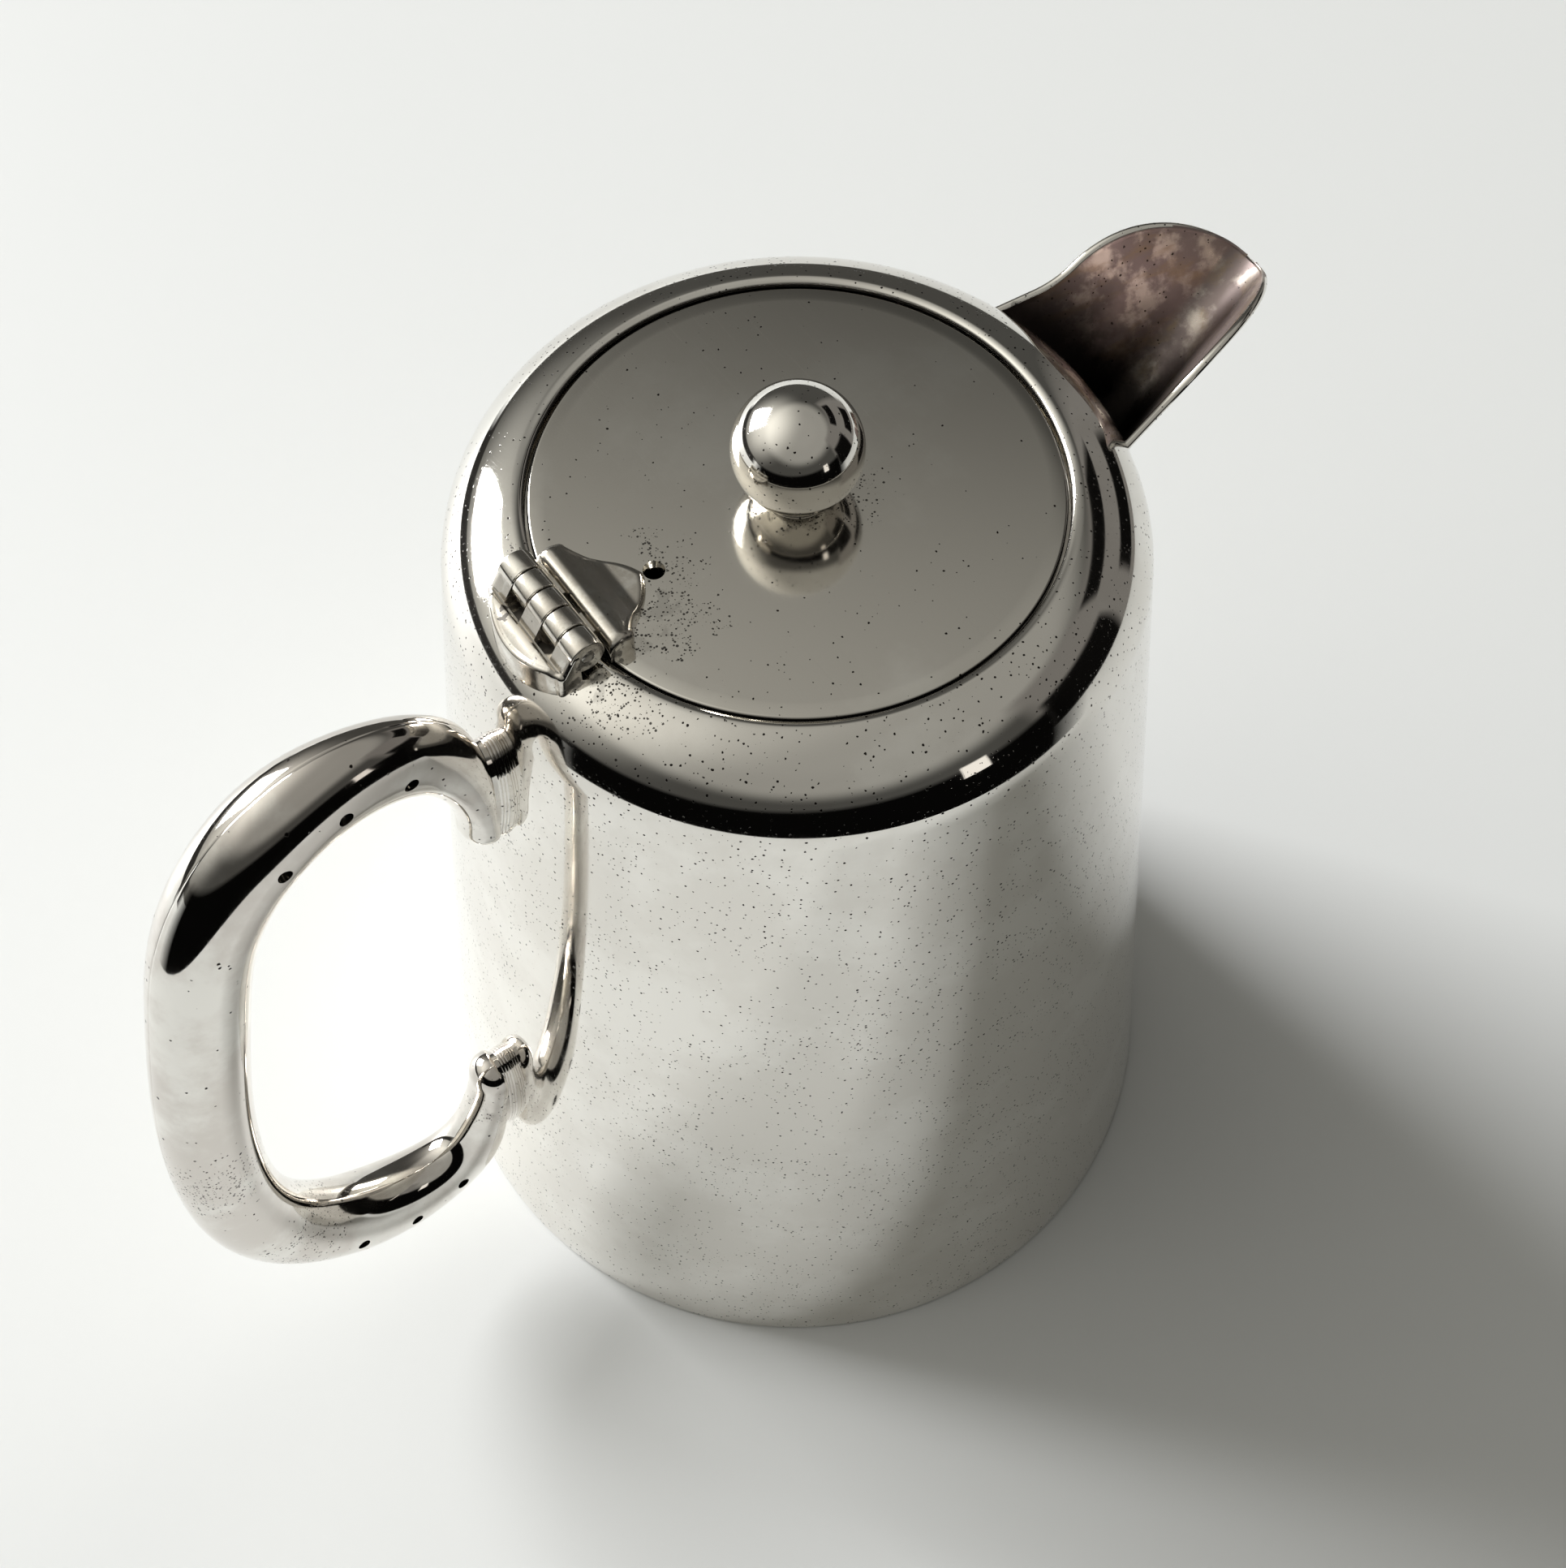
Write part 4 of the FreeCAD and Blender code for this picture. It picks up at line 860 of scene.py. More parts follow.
def makeHandlePath(points, slopes, gaps):
    curve = bpy.data.curves.new("handlePath", "CURVE")
    curve.dimensions = "3D"
    spline = curve.splines.new("BEZIER")
    spline.bezier_points.add(len(points) - 1)
    spline.resolution_u = handle["pathSteps"]
    for i, (knot, spot, slope) in enumerate(zip(spline.bezier_points, points, slopes)):
        knot.handle_left_type = knot.handle_right_type = "FREE"
        knot.co = spot * mm
        knot.handle_left = (spot - slope * gaps[max(0, i - 1)] / 3.0) * mm
        knot.handle_right = (spot + slope * gaps[min(i, len(gaps) - 1)] / 3.0) * mm
    path = bpy.data.objects.new("handlePath", curve)
    scene.collection.objects.link(path)
    return path


def makeHandleSweep():
    # half a hollow oval tube along the path, bored at the input's points
    inputs = [("Vents", "Geometry", None), ("Path", "Object", None), ("Side", "Float", 1.0),
              ("Rows", "Int", handle["rows"]), ("Around", "Int", handle["around"]),
              ("Finish", "Material", None)]
    inputs += [(label, "Float", size * mm) for label, size in handle["sizes"].items()]
    tree, given, result = newGroup("handleSweep", "GeometryNodeTree", inputs, [("Half", "Geometry", None)])
    line = addNode(tree, "GeometryNodeObjectInfo", {"transform_space": "ORIGINAL"},
                   {"Object": given["Path"]}).outputs["Geometry"]
    length = addNode(tree, "GeometryNodeCurveLength", None, {"Curve": line}).outputs["Length"]

    def onPath(distance):
        return addNode(tree, "GeometryNodeSampleCurve", {"mode": "LENGTH"},
                       {"Curves": line, "Length": distance}).outputs

    def halfCosine(value):
        return timesPlus(tree, calc(tree, "COSINE", times(tree, value, math.pi)), -0.5, 0.5)

    def fromTips(upperStart, upperEnd, lowerStart, lowerEnd):
        # 0 at both tips, 1 along the grip
        return times(tree, ramp(tree, along, given[upperStart], given[upperEnd]),
                     ramp(tree, back, given[lowerStart], given[lowerEnd]))

    def mixSizes(share, tip, grip):
        return ramp(tree, share, 0.0, 1.0, given[tip], given[grip], "LINEAR")

    loop = times(tree, given["Around"], 2.0)
    loopPlus = plus(tree, loop, 1.0)
    grid = addNode(tree, "GeometryNodeMeshGrid", None, {"Vertices X": given["Rows"], "Vertices Y": loopPlus})
    index = addNode(tree, "GeometryNodeInputIndex").outputs["Index"]
    row = calc(tree, "FLOOR", calc(tree, "DIVIDE", plus(tree, index, 0.5), loopPlus))
    place = calc(tree, "MODULO", minus(tree, index, times(tree, row, loopPlus)), loop)
    # rows crowd towards both tips
    share = halfCosine(calc(tree, "DIVIDE", row, minus(tree, given["Rows"], 1.0)))
    along = times(tree, share, length)
    back = minus(tree, length, along)
    spot = onPath(along)
    ahead = spot["Tangent"]
    for shift in (times(tree, given["Bend Reach"], -1.0), given["Bend Reach"]):
        ahead = vectorCalc(tree, "ADD", ahead, onPath(plus(tree, along, shift))["Tangent"])
    across = vectorCalc(tree, "NORMALIZE", vectorCalc(tree, "CROSS_PRODUCT", ahead, (0.0, 1.0, 0.0)))
    deepen = fromTips("Swell Start", "Upper Depth", "Swell Start", "Lower Depth")
    widen = fromTips("Upper Width Start", "Upper Width", "Lower Width Start", "Lower Width")
    fill = fromTips("Bulge Start", "Upper Bulge", "Bulge Start", "Lower Bulge")
    wallSide = mixSizes(deepen, "End Depth", "Grip Depth")
    farSide = mixSizes(fill, "End Bulge", "Grip Depth")
    width = mixSizes(widen, "End Width", "Grip Width")
    tip = calc(tree, "DIVIDE", calc(tree, "MINIMUM", along, back), given["End Width"])
    blunt = minus(tree, 1.0, calc(tree, "MINIMUM", tip, 1.0))
    rounding = calc(tree, "SQRT", minus(tree, 1.0, times(tree, blunt, blunt)))
    # outer half turn, then back along the inner one
    lastAround = minus(tree, given["Around"], 1.0)
    isInner = calc(tree, "GREATER_THAN", place, plus(tree, lastAround, 0.5))
    mirrored = minus(tree, minus(tree, loop, 1.0), place)
    turn = calc(tree, "DIVIDE", calc(tree, "MINIMUM", place, mirrored), lastAround)
    angle = times(tree, halfCosine(turn), math.pi)
    level = calc(tree, "COSINE", angle)
    isFar = calc(tree, "GREATER_THAN", level, 0.0)
    depth = timesPlus(tree, minus(tree, farSide, wallSide), isFar, wallSide)
    # near its ends the side towards the wall is flatter than an oval
    square = larger(tree, isFar, timesPlus(tree, deepen, 0.5, 0.5))
    upShare = calc(tree, "POWER", calc(tree, "ABSOLUTE", level), square)
    upShare = times(tree, calc(tree, "SIGN", level), upShare)
    sideShare = calc(tree, "POWER", calc(tree, "ABSOLUTE", calc(tree, "SINE", angle)), square)
    sheet = times(tree, given["Sheet"], isInner)
    thinDepth = larger(tree, minus(tree, depth, sheet), given["Thinnest"])
    thinWidth = larger(tree, minus(tree, width, sheet), given["Thinnest"])
    sideways = times(tree, times(tree, thinWidth, rounding), sideShare)
    seam = times(tree, ramp(tree, sideways, 0.0, given["Seam Width"], 1.0, 0.0),
                 times(tree, given["Seam Depth"], minus(tree, 1.0, isInner)))
    seam = times(tree, seam, ramp(tree, back, given["Seam Start"], given["Seam Full"]))
    grooved = larger(tree, minus(tree, thinDepth, seam), given["Thinnest"])
    upDown = times(tree, times(tree, grooved, rounding), upShare)
    offset = vectorCalc(tree, "ADD", scaled(tree, across, upDown),
                        scaled(tree, (0.0, 1.0, 0.0), times(tree, sideways, given["Side"])))
    swept = addNode(tree, "GeometryNodeSetPosition", None,
                    {"Geometry": grid.outputs["Mesh"],
                     "Position": vectorCalc(tree, "ADD", spot["Position"], offset)})
    closed = addNode(tree, "GeometryNodeMergeByDistance", None,
                     {"Geometry": swept.outputs[0], "Distance": given["Weld"]})
    drill = addNode(tree, "GeometryNodeMeshCylinder", {"fill_type": "NGON"},
                    {"Vertices": handle["ventTurns"], "Radius": given["Vent Radius"],
                     "Depth": given["Vent Depth"]})
    half = bored(tree, closed.outputs[0], given["Vents"], drill.outputs["Mesh"], (math.pi / 2.0, 0.0, 0.0),
                 given["Finish"])
    tree.links.new(half, result["Half"])
    return tree


def ventSpots(points, slopes, gaps):
    # where the path crosses each vent's x, upper arm first, then the lower arm
    spots = []
    half = len(handle["ventX"]) // 2
    for number, x in enumerate(handle["ventX"]):
        found = []
        for i, gap in enumerate(gaps):
            for step in range(handle["ventSearch"]):
                u = step / handle["ventSearch"]
                spot = (points[i] * (2 * u ** 3 - 3 * u * u + 1) + slopes[i] * gap * (u ** 3 - 2 * u * u + u)
                        + points[i + 1] * (3 * u * u - 2 * u ** 3) + slopes[i + 1] * gap * (u ** 3 - u * u))
                if abs(spot.x - x) < handle["ventNear"]:
                    found.append(spot)
        spots.append(max(found, key=lambda s: s.z) if number < half else min(found, key=lambda s: s.z))
    return spots


def makeHandle():
    points = handleStops()
    slopes, gaps = smoothSlopes(points)
    path = makeHandlePath(points, slopes, gaps)
    sweep = makeHandleSweep()
    vents = ventSpots(points, slopes, gaps)
    sizes = {label: size * mm for label, size in handle["sizes"].items()}
    for name, side, node in (("handleLeftHalf", 1.0, "handle_left_half"),
                             ("handleRightHalf", -1.0, "handle_right_half")):
        marks = bpy.data.meshes.new("ventMarks")
        marks.from_pydata([spot * mm for spot in vents], [], [])
        data = runNodes(marks, sweep, dict(sizes, Path=path, Side=side, Rows=handle["rows"],
                                           Around=handle["around"], Finish=handlePlate))
        mesh = bmesh.new()
        mesh.from_mesh(data)
        addPiece(name, finishMesh(mesh, name, handle["sharp"]), [handlePlate], "pot", "polished_plate", node)
    bpy.data.objects.remove(path)


makeHandle()
print("handle ready")


# sockets that carry the handle
def makeSocket(name, node):
    look = {"halfHeight": 9.3, "halfWidth": 3.7, "root": 0.75, "start": 0.05, "reach": 1.3, "sink": 0.6,
            "neck": 0.97, "rings": 3, "stand": 0.1, "around": 160, "steps": 8, "sharp": 40.0}
    height = handle[name]
    up = Vector((taper, 0.0, 1.0)) / lean
    outward = Vector((-1.0, 0.0, taper)) / lean
    foot = Vector((-wallAt(height), 0.0, height))
    # distance from the wall, share of the full size, and how proud the ring stands there
    stations = [(-look["root"], 1.0, 0.0), (0.0, 1.0, 0.0)]
    for ring, step in itertools.product(range(look["rings"]), range(look["steps"])):
        part = (ring + step / look["steps"]) / look["rings"]
        away = look["start"] + (look["reach"] - look["start"]) * part
        stand = look["stand"] * math.sqrt(math.sin(math.pi * step / look["steps"]))
        stations.append((away, 1.0 + (look["neck"] - 1.0) * part, stand))
    stations += [(look["reach"], look["neck"], 0.0), (look["reach"] + look["sink"], look["neck"], 0.0)]
    loops = []
    for offset, share, stand in stations:
        loop = []
        for step in range(look["around"]):
            angle = 2.0 * math.pi * step / look["around"]
            loop.append(foot + outward * offset + up * math.sin(angle) * (look["halfHeight"] * share + stand)
                        + Vector((0.0, math.cos(angle) * (look["halfWidth"] * share + stand), 0.0)))
        loops.append(loop)
    mesh = bmesh.new()
    addTube(mesh, loops)
    addPiece(name, finishMesh(mesh, name, look["sharp"]), [handlePlate], "pot", "polished_plate", node)


makeSocket("upperSocket", "upper_socket")
makeSocket("lowerSocket", "lower_socket")
print("sockets ready")


# hinge
hinge = {
    "half": 7.5, "knuckles": 5, "radius": 2.1, "gap": 0.2, "chamfer": 0.16, "boreEdge": 0.06, "turns": 56,
    "bodyBore": 0.02, "lidBore": 0.05, "edgeSteps": 5, "sharp": 36.0,
    # body leaf
    "reach": 5.9, "endReach": 3.2, "top": 0.9, "fall": 1.5, "fallCurve": 1.7, "edge": 0.7, "crease": 3.5,
    "creaseSoft": 0.15, "step": 0.3, "notch": 3.1, "notchFloor": 2.2, "wingX": 1.6, "wingZ": 1.3,
    "crisp": 0.03, "sink": 0.5, "bodyRows": 48, "innerColumns": 16, "outerColumns": 20,
    # lid leaf
    "barOut": -29.3, "barIn": -26.3, "barTop": 3.1, "slopeEnd": -23.2, "leafTip": -20.35, "turnX": -24.2,
    "turnY": 4.4, "curve": 7.5, "plate": 1.1, "leafEdge": 0.85, "leafSink": 0.02, "leafRows": 64,
    "barColumns": 9, "slopeColumns": 30, "webOut": 0.9, "webFoot": (1.05, 1.0), "webTop": (2.25, 2.2),
    # pin
    "pinDome": 0.18, "domeTurns": (0.0, 0.5, 1.0, 1.35), "pinTurns": 40,
}
pitch = 2.0 * hinge["half"] / hinge["knuckles"]


def knuckleSpan(number):
    low = -hinge["half"] + pitch * number + hinge["gap"] / 2.0
    return low, low + pitch - hinge["gap"]


def makeKnuckles(first, count, bore):
    low, high = knuckleSpan(first)
    chamfer, boreEdge = hinge["chamfer"], hinge["boreEdge"]
    outline = [(bore, low, boreEdge), (hinge["radius"], low, chamfer), (hinge["radius"], high, chamfer),
               (bore, high, boreEdge)]
    mesh = bmesh.new()
    addTurned(mesh, softCorners(outline, True), steps=hinge["turns"], along="Y", centre=(pinX, 0.0, pinZ))
    return runNodes(finishMesh(mesh, "knuckle"), rowOfCopies,
                    {"Count": count, "Step": (0.0, 2.0 * pitch * mm, 0.0), "Finish": hingeMetal})


def addRelief(mesh, ys, columnsAt, edge, floorAt):
    # a low solid over a grid: columnsAt(y) gives (x, z) across
    # its far side and both ends are rounded by edge
    turns = [math.pi / 2.0 * k / hinge["edgeSteps"] for k in range(1, hinge["edgeSteps"] + 1)]
    last = max(ys)
    stations = [(-last - edge * math.sin(t), -last, math.cos(t)) for t in reversed(turns)]
    stations += [(y, y, 1.0) for y in ys]
    stations += [(last + edge * math.sin(t), last, math.cos(t)) for t in turns]
    loops = []
    for y, source, endCos in stations:
        columns = columnsAt(source)
        sideX, sideZ = columns[-1]
        direction = math.copysign(1.0, sideX - columns[0][0])
        drop = edge * (1.0 - endCos)
        row = [Vector((x, y, z - drop)) for x, z in columns]
        for t in turns:
            row.append(Vector((sideX + direction * edge * math.sin(t) * endCos, y,
                               sideZ - edge * (1.0 - math.cos(t) * endCos))))
        floor = [Vector((s.x, y, min(s.z, floorAt(s.x, y)))) for s in row]
        loops.append(row + floor[::-1])
    addTube(mesh, loops)


def makeBodyLeaf():
    edge, crisp = hinge["edge"], hinge["crisp"]
    half = hinge["half"] - edge
    bow = hinge["reach"] - hinge["endReach"]
    arc = (hinge["half"] ** 2 + bow ** 2) / (2.0 * bow)
    innerX = pinX - hinge["radius"] / 2.0
    creaseX = pinX - hinge["crease"]
    notchX = pinX - hinge["notch"]
    top = pinZ - hinge["top"]
    steps = [-half + 2.0 * half * k / hinge["bodyRows"] for k in range(hinge["bodyRows"] + 1)]
    for k in range(1, hinge["knuckles"]):
        border = -hinge["half"] + pitch * k
        steps = [y for y in steps if abs(y - border) > 4.0 * crisp] + [border - crisp, border + crisp]
    steps.sort()

    def topAt(x):
        rise = smooth(-hinge["creaseSoft"], hinge["creaseSoft"], creaseX - x) * hinge["step"]
        fallen = max(0.0, creaseX - x) / (hinge["reach"] - hinge["crease"])
        level = top - hinge["step"] + rise - hinge["fall"] * fallen ** hinge["fallCurve"]
        # the sheet rises from the strip to curl round the pin
        wing = (x - notchX) / (hinge["notch"] - hinge["wingX"])
        return level + (pinZ + hinge["wingZ"] - level) * min(1.0, max(0.0, wing))

    def columnsAt(y):
        outX = pinX - hinge["reach"] + (arc - math.sqrt(arc ** 2 - y * y)) + edge
        moving = int((y + hinge["half"]) / pitch) % 2 == 1
        inner, outer = hinge["innerColumns"], hinge["outerColumns"]
        spots = [innerX + (max(outX, notchX) - innerX) * k / inner for k in range(inner)]
        spots += [max(outX, notchX + crisp), max(outX, notchX - crisp)]
        spots += [spots[-1] + (outX - spots[-1]) * k / outer for k in range(1, outer + 1)]
        return [(x, pinZ - hinge["notchFloor"] if moving and x > notchX else topAt(x)) for x in spots]

    mesh = bmesh.new()
    addRelief(mesh, steps, columnsAt, edge, lambda x, y: shoulderZ(math.hypot(x, y)) - hinge["sink"])
    mesh.from_mesh(makeKnuckles(first=0, count=3, bore=pinRadius + hinge["bodyBore"]))
    addPiece("hingeBodyLeaf", finishMesh(mesh, "hingeBodyLeaf", hinge["sharp"]), [hingeMetal], "pot",
             "polished_plate", "hinge_body_leaf")


def makeLidLeaf():
    edge = hinge["leafEdge"]
    half = hinge["half"] - edge
    radius = (hinge["barIn"] - hinge["barOut"]) / 2.0
    crestX = (hinge["barIn"] + hinge["barOut"]) / 2.0
    plateZ = lidTop + hinge["plate"]
    crestZ = lidTop + hinge["barTop"]
    shoulder, turn = Vector((hinge["barIn"], hinge["half"])), Vector((hinge["turnX"], hinge["turnY"]))
    point = Vector((hinge["leafTip"], 0.0))

    def outlineX(y):
        # bracket outline of the leaf's edge
        y = abs(y)
        start, end, bulge = (shoulder, turn, -1.0) if y > hinge["turnY"] else (turn, point, 1.0)
        chord = end - start
        normal = Vector((chord.y, -chord.x)).normalized()
        if normal.x < 0.0:
            normal = -normal
        away = math.sqrt(hinge["curve"] ** 2 - (chord.length / 2.0) ** 2)
        centre = (start + end) / 2.0 - normal * bulge * away
        return centre.x + bulge * math.sqrt(max(0.0, hinge["curve"] ** 2 - (y - centre.y) ** 2))

    def columnsAt(y):
        columns = []
        for k in range(hinge["barColumns"] + 1):  # rounded back of the bar
            angle = math.pi * (1.0 - 0.5 * k / hinge["barColumns"])
            columns.append((crestX + radius * math.cos(angle), crestZ - radius + radius * math.sin(angle)))
        endX = outlineX(y) - edge
        for k in range(1, hinge["slopeColumns"] + 1):  # then one long slope down to the plate
            x = crestX + (endX - crestX) * k / hinge["slopeColumns"]
            columns.append((x, crestZ + (plateZ - crestZ) * smooth(crestX, hinge["slopeEnd"], x)))
        return columns

    rows = [half * (2.0 * k / hinge["leafRows"] - 1.0) for k in range(hinge["leafRows"] + 1)]
    mesh = bmesh.new()
    addRelief(mesh, rows, columnsAt, edge, lambda x, y: lidTop - hinge["leafSink"])
    webX = pinX + hinge["webOut"]
    (footOut, footIn), (topOut, topIn) = hinge["webFoot"], hinge["webTop"]
    profile = [(webX, lidTop + footOut), (crestX, lidTop + footIn), (crestX, lidTop + topIn),
               (webX, lidTop + topOut)]
    for number in (1, 3):  # webs from the bar to the turning knuckles
        addTube(mesh, [[(x, y, z) for x, z in profile] for y in knuckleSpan(number)])
    mesh.from_mesh(makeKnuckles(first=1, count=2, bore=pinRadius + hinge["lidBore"]))
    addPiece("hingeLidLeaf", finishMesh(mesh, "hingeLidLeaf", hinge["sharp"]), [hingeMetal], "lid",
             "worn_plate", "hinge_lid_leaf")


def makeHingePin():
    half, dome = hinge["half"], hinge["pinDome"]
    end = [(pinRadius * math.cos(a), half - dome + dome * math.sin(a)) for a in hinge["domeTurns"]]
    outline = [(0.0, -half)] + [(r, -z) for r, z in reversed(end)] + end + [(0.0, half)]
    mesh = bmesh.new()
    addTurned(mesh, outline, False, hinge["pinTurns"], "Y", (pinX, 0.0, pinZ))
    addPiece("hingePin", finishMesh(mesh, "hingePin"), [bareMetal], "pot", "bare_metal", "hinge_pin")


makeBodyLeaf()
makeLidLeaf()
makeHingePin()
print("hinge ready")


# lid and knob
knob = {"bore": 1.55, "ball": 7.4, "neck": 0.8, "neckRadius": 4.0, "seat": 3.3, "steps": 48,
        "collarEdge": 0.05, "footEdge": 0.12, "waistOut": 0.25, "waistUp": 0.45, "waistRound": 0.3,
        "washer": 3.5, "washerThick": 0.6, "washerEdge": 0.1, "washerRim": 0.2}


def makeLidPlate():
    look = {"edge": 0.4, "underEdge": 0.15, "underRing": 0.5, "topRings": (0.93, 0.8, 0.6, 0.35),
            "steamX": -19.0, "steamRadius": 1.25, "steamDepth": 4.0, "steamFlare": 0.34, "turns": 256}
    radius = pot["mouthRadius"] - pot["lidGap"]
    outline = [(knob["bore"], lidUnder), (radius * look["underRing"], lidUnder),
               (radius, lidUnder, look["underEdge"]), (radius, lidTop, look["edge"])]
    outline += [(radius * part, lidTop) for part in look["topRings"]] + [(knob["bore"], lidTop)]
    mesh = bmesh.new()
    addTurned(mesh, softCorners(outline, True), steps=look["turns"])
    data = runNodes(finishMesh(mesh, "lidPlate"), perforations, {
        "Rows": 1, "Radius": look["steamRadius"] * mm, "Depth": look["steamDepth"] * mm,
        "Flare": look["steamFlare"] / mm, "Place": (look["steamX"] * mm, 0.0, lidTop * mm),
        "Turn": (0.0, 0.0, 0.0)})
    smoothMesh(data)
    addPiece("lidPlate", data, [satinLid], "lid", "worn_plate", "lid_plate")


def makeLidBezel():
    look = {"outer": 27.7, "thick": 0.8, "depth": 4.0, "edge": 0.3}
    inner, low = look["outer"] - look["thick"], lidUnder - look["depth"]
    makeTurnedPiece("lidBezel", [
        (inner, lidUnder), (inner, low, look["edge"]), (look["outer"], low, look["edge"]),
        (look["outer"], lidUnder)], hingeMetal, "lid", "polished_plate", "lid_bezel")


def makeKnob():
    bore, seat, ball, edge = knob["bore"], knob["seat"], knob["ball"], knob["collarEdge"]
    seatZ = lidTop + knob["neck"]
    centreZ = seatZ + math.sqrt(ball ** 2 - seat ** 2)
    makeTurnedPiece("knobCollar", [
        (bore, lidTop, edge), (knob["neckRadius"], lidTop, knob["footEdge"]),
        (seat + knob["waistOut"], lidTop + knob["waistUp"], knob["waistRound"]), (seat, seatZ, edge),
        (bore, seatZ, edge)], knobPlate, "lid", "polished_plate", "knob_collar", steps=96)
    start = -math.acos(seat / ball)
    outline = [(0.0, seatZ)]
    for step in range(knob["steps"]):
        angle = start + (math.pi / 2.0 - start) * step / knob["steps"]
        outline.append((ball * math.cos(angle), centreZ + ball * math.sin(angle)))
    makeTurnedPiece("knobBall", outline + [(0.0, centreZ + ball)], knobPlate, "lid", "polished_plate",
                    "knob_ball", steps=128, closed=False)
    low, edge = lidUnder - knob["washerThick"], knob["washerEdge"]
    makeTurnedPiece("knobWasher", [
        (bore, low, edge), (knob["washer"], low, knob["washerRim"]), (knob["washer"], lidUnder, edge),
        (bore, lidUnder, edge)], bareMetal, "lid", "bare_metal", "knob_washer", steps=64)


makeLidPlate()
makeLidBezel()
makeKnob()
for label in ("knob_stud", "knob_nut"):  # plain fixings keep their CAD shape
    fixing = frame["nodes"][label].data
    fixing.materials.clear()
    fixing.materials.append(bareMetal)
print("lid and knob ready")


# studio, in metres: pale table, one window-like soft light, a dim room
studio = {
    "table": (0.80, 0.815, 0.81, 1.0), "tableRough": 0.55, "tableSize": 3.0, "tableDrop": 0.00008,
    "windowAzimuth": -155.0, "windowElevation": 24.0, "windowAway": 5.0, "windowAim": 0.06,
    "windowSize": (2.4, 2.6), "windowPower": 430.0,
    "roomLow": 0.07, "roomMiddle": 0.17, "roomHigh": 0.19, "roomTop": (0.8, 0.97),
    "roomTint": (1.0, 0.98, 0.9),
    "ceiling": 0.17, "ceilingAzimuth": -35.0, "ceilingElevation": 76.0, "ceilingEdge": (0.53, 0.735),
    "ceilingAway": 2.0, "ceilingFoot": 0.9, "ceilingTurns": (48, 32),
    "glow": 1.0, "glowAzimuth": -136.0, "glowElevation": 39.0, "glowFrom": 0.4, "glowFocus": 2.7,
    # cards that only the metal sees: two azimuths, foot, the top at each end, distance, brightness
    "cards": [(-104.0, 44.0, -24.0, 3.0, 13.0, 0.23, 0.002),
              (6.0, 14.0, 1.0, 13.0, 13.0, 0.225, 1.0), (-180.0, -104.0, -8.0, 2.0, 2.0, 0.6, 0.03),
              (34.0, 66.0, -8.0, 22.0, 22.0, 0.6, 0.004), (75.0, 104.0, -3.0, 12.0, 12.0, 0.6, 0.004),
              (70.0, 108.0, 27.0, 39.0, 39.0, 0.6, 0.004), (30.0, 118.0, -8.0, 44.0, 44.0, 0.64, 0.2)],
    # the cards fade out over this share of their width at each end, and of their height at the top
    "cardColumns": 24, "cardRows": 8, "cardFade": 0.07, "cardTint": (1.0, 0.95, 0.88), "cardEye": 0.131,
}


def heading(azimuth, elevation):
    a, e = math.radians(azimuth), math.radians(elevation)
    return Vector((math.sin(a) * math.cos(e), -math.cos(a) * math.cos(e), math.sin(e)))


def makeTable():
    size, level = studio["tableSize"], -studio["tableDrop"]
    data = bpy.data.meshes.new("table")
    corners = [(-size, -size, level), (size, -size, level), (size, size, level), (-size, size, level)]
    data.from_pydata(corners, [], [(0, 1, 2, 3)])
    material, tree, shader, place = newMaterial("paleTable", 0.0)
    shader.inputs["Base Color"].default_value = studio["table"]
    shader.inputs["Roughness"].default_value = studio["tableRough"]
    data.materials.append(material)
    table = bpy.data.objects.new("table", data)
    scene.collection.objects.link(table)


def stageForMetal(name, data, material, tree, shader):
    # only reflections see it
    addNode(tree, "ShaderNodeOutputMaterial", None, {"Surface": shader.outputs[0]})
    data.materials.append(material)
    made = bpy.data.objects.new(name, data)
    scene.collection.objects.link(made)
    made.visible_camera = made.visible_diffuse = made.visible_shadow = made.visible_transmission = False


def makeCards():
    columns, rows, fade = studio["cardColumns"], studio["cardRows"], studio["cardFade"]
    for number, (west, east, low, highWest, highEast, away, shade) in enumerate(studio["cards"]):
        corners, cover = [], []
        for column, row in itertools.product(range(columns + 1), range(rows + 1)):
            share, rise = column / columns, row / rows
            high = highWest + (highEast - highWest) * smooth(0.0, 1.0, share)
            slope = math.tan(math.radians(low + (high - low) * rise))
            flat = heading(west + (east - west) * share, 0.0) * away
            corners.append((flat.x, flat.y, studio["cardEye"] + away * slope))
            cover.append(min(1.0, share / fade, (1.0 - share) / fade, (1.0 - rise) / fade))
        faces = [(k, k + rows + 1, k + rows + 2, k + 1) for c in range(columns)
                 for k in range(c * (rows + 1), c * (rows + 1) + rows)]
        data = bpy.data.meshes.new("card")
        data.from_pydata(corners, [], faces)
        data.attributes.new("cover", "FLOAT", "POINT").data.foreach_set("value", cover)
        material, tree = bareMaterial("cardFace")
        there = addNode(tree, "ShaderNodeAttribute", {"attribute_name": "cover"}).outputs["Fac"]
        colour = tuple(shade * part for part in studio["cardTint"]) + (1.0,)
        dim = addNode(tree, "ShaderNodeEmission", None, {"Color": colour, "Strength": 1.0})
        clear = addNode(tree, "ShaderNodeBsdfTransparent")
        both = addNode(tree, "ShaderNodeMixShader", None, {0: there, 1: clear.outputs[0], 2: dim.outputs[0]})
        stageForMetal("card" + str(number), data, material, tree, both)


def roomColour(tree, level):
    tint = addNode(tree, "ShaderNodeCombineXYZ", None, dict(zip("XYZ", studio["roomTint"])))
    return scaled(tree, tint.outputs[0], level)


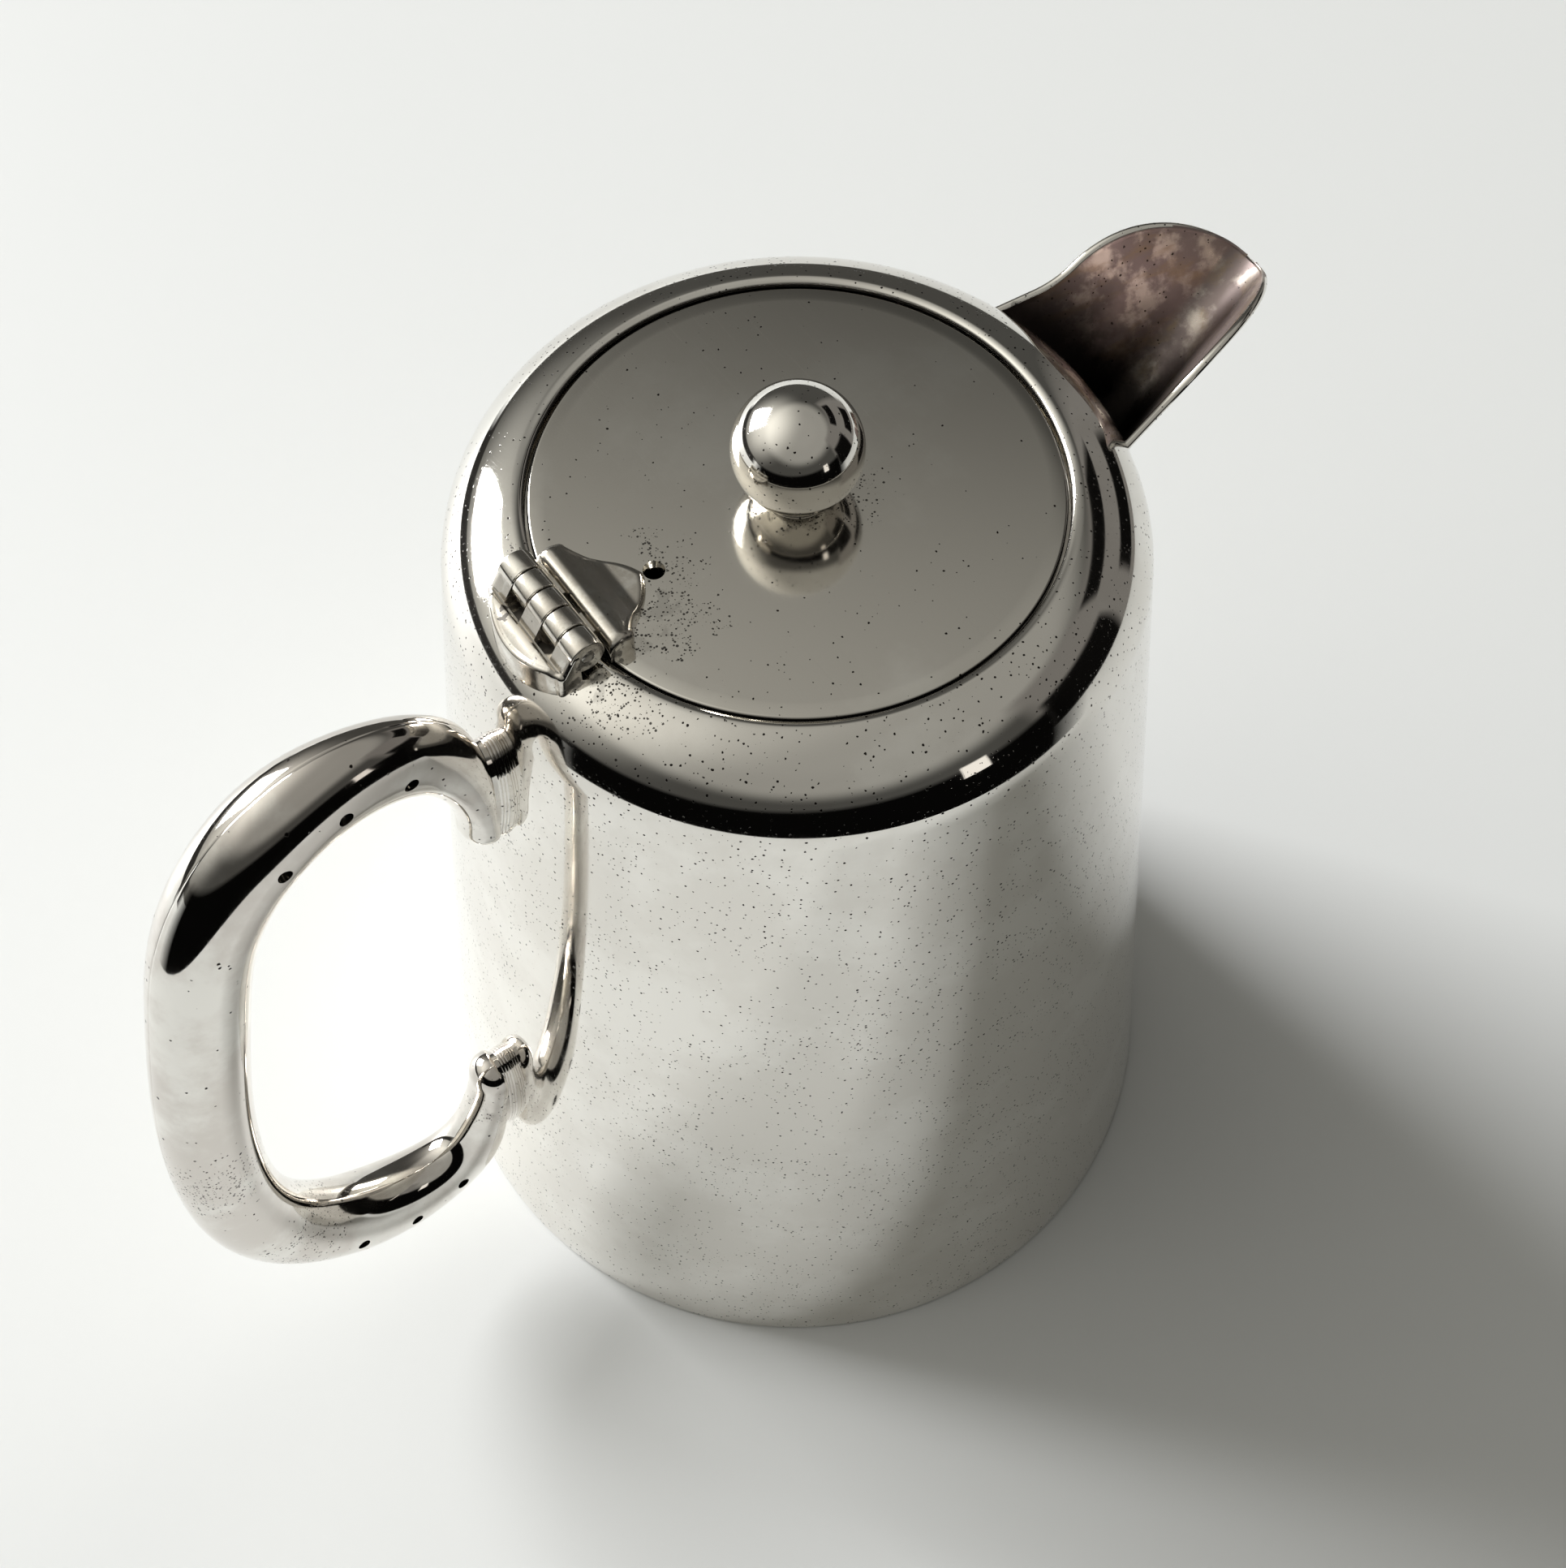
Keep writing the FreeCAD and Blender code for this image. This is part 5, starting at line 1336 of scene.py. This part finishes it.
def makeCeiling():
    # a soft glow overhead for the metal alone, over what the room gives
    middle = heading(studio["ceilingAzimuth"], studio["ceilingElevation"])
    mesh = bmesh.new()
    around, up = studio["ceilingTurns"]
    bmesh.ops.create_uvsphere(mesh, u_segments=around, v_segments=up, radius=studio["ceilingAway"])
    spare = [v for v in mesh.verts if v.co.z < studio["ceilingFoot"]]
    bmesh.ops.delete(mesh, geom=spare, context="VERTS")
    data = bpy.data.meshes.new("ceiling")
    mesh.to_mesh(data)
    mesh.free()
    data.transform(middle.to_track_quat("Z", "Y").to_matrix().to_4x4())
    material, tree = bareMaterial("ceilingGlow")
    spot = addNode(tree, "ShaderNodeNewGeometry").outputs["Position"]
    facing = vectorCalc(tree, "DOT_PRODUCT", vectorCalc(tree, "NORMALIZE", spot), tuple(middle))
    level = ramp(tree, facing, *studio["ceilingEdge"], 0.0, studio["ceiling"])
    shine = addNode(tree, "ShaderNodeEmission", None, {"Color": roomColour(tree, level), "Strength": 1.0})
    clear = addNode(tree, "ShaderNodeBsdfTransparent")
    both = addNode(tree, "ShaderNodeAddShader", None, {0: shine.outputs[0], 1: clear.outputs[0]})
    stageForMetal("ceiling", data, material, tree, both)


def makeLight():
    direction = heading(studio["windowAzimuth"], studio["windowElevation"])
    lamp = bpy.data.lights.new("window", "AREA")
    lamp.shape = "RECTANGLE"
    lamp.size, lamp.size_y = studio["windowSize"]
    lamp.energy = studio["windowPower"]
    light = bpy.data.objects.new("window", lamp)
    light.location = Vector((0.0, 0.0, studio["windowAim"])) + direction * studio["windowAway"]
    light.rotation_euler = direction.to_track_quat("Z", "Y").to_euler()
    light.visible_camera = False
    scene.collection.objects.link(light)


def makeRoom():
    world = bpy.data.worlds.new("room")
    scene.world = world
    world.use_nodes = True
    tree = world.node_tree
    tree.nodes.clear()
    direction = addNode(tree, "ShaderNodeTexCoord").outputs["Generated"]
    ceiling = heading(studio["ceilingAzimuth"], studio["ceilingElevation"])
    height = vectorCalc(tree, "DOT_PRODUCT", direction, tuple(ceiling))
    grey = ramp(tree, height, *studio["ceilingEdge"], studio["roomLow"], studio["roomMiddle"])
    top = ramp(tree, height, *studio["roomTop"], 0.0, studio["roomHigh"] - studio["roomMiddle"])
    window = heading(studio["glowAzimuth"], studio["glowElevation"])
    facing = vectorCalc(tree, "DOT_PRODUCT", direction, tuple(window))
    facing = ramp(tree, facing, studio["glowFrom"], 1.0, easing="LINEAR")
    glow = times(tree, calc(tree, "POWER", facing, studio["glowFocus"]), studio["glow"])
    level = plus(tree, plus(tree, grey, top), glow)
    sky = addNode(tree, "ShaderNodeBackground", None, {"Color": roomColour(tree, level), "Strength": 1.0})
    addNode(tree, "ShaderNodeOutputWorld", None, {"Surface": sky.outputs[0]})


def makeCamera():
    view = {"place": (-93.327, -131.811, 337.564), "right": (0.82052, -0.57161, -0.00178),
            "up": (0.49153, 0.70398, 0.51265), "lens": 54.037, "sensor": 36.0, "nearest": 5.0}
    lens = bpy.data.cameras.new("camera")
    lens.lens = view["lens"]
    lens.sensor_width = view["sensor"]
    lens.clip_start = view["nearest"] * mm
    camera = bpy.data.objects.new("camera", lens)
    right = Vector(view["right"]).normalized()
    up = Vector(view["up"]).normalized()
    turn = Matrix((right, up, right.cross(up))).transposed()
    camera.matrix_world = Matrix.Translation(Vector(view["place"]) * mm) @ turn.to_4x4()
    scene.collection.objects.link(camera)
    scene.camera = camera


makeTable()
makeCards()
makeCeiling()
makeLight()
makeRoom()
makeCamera()
print("studio ready")
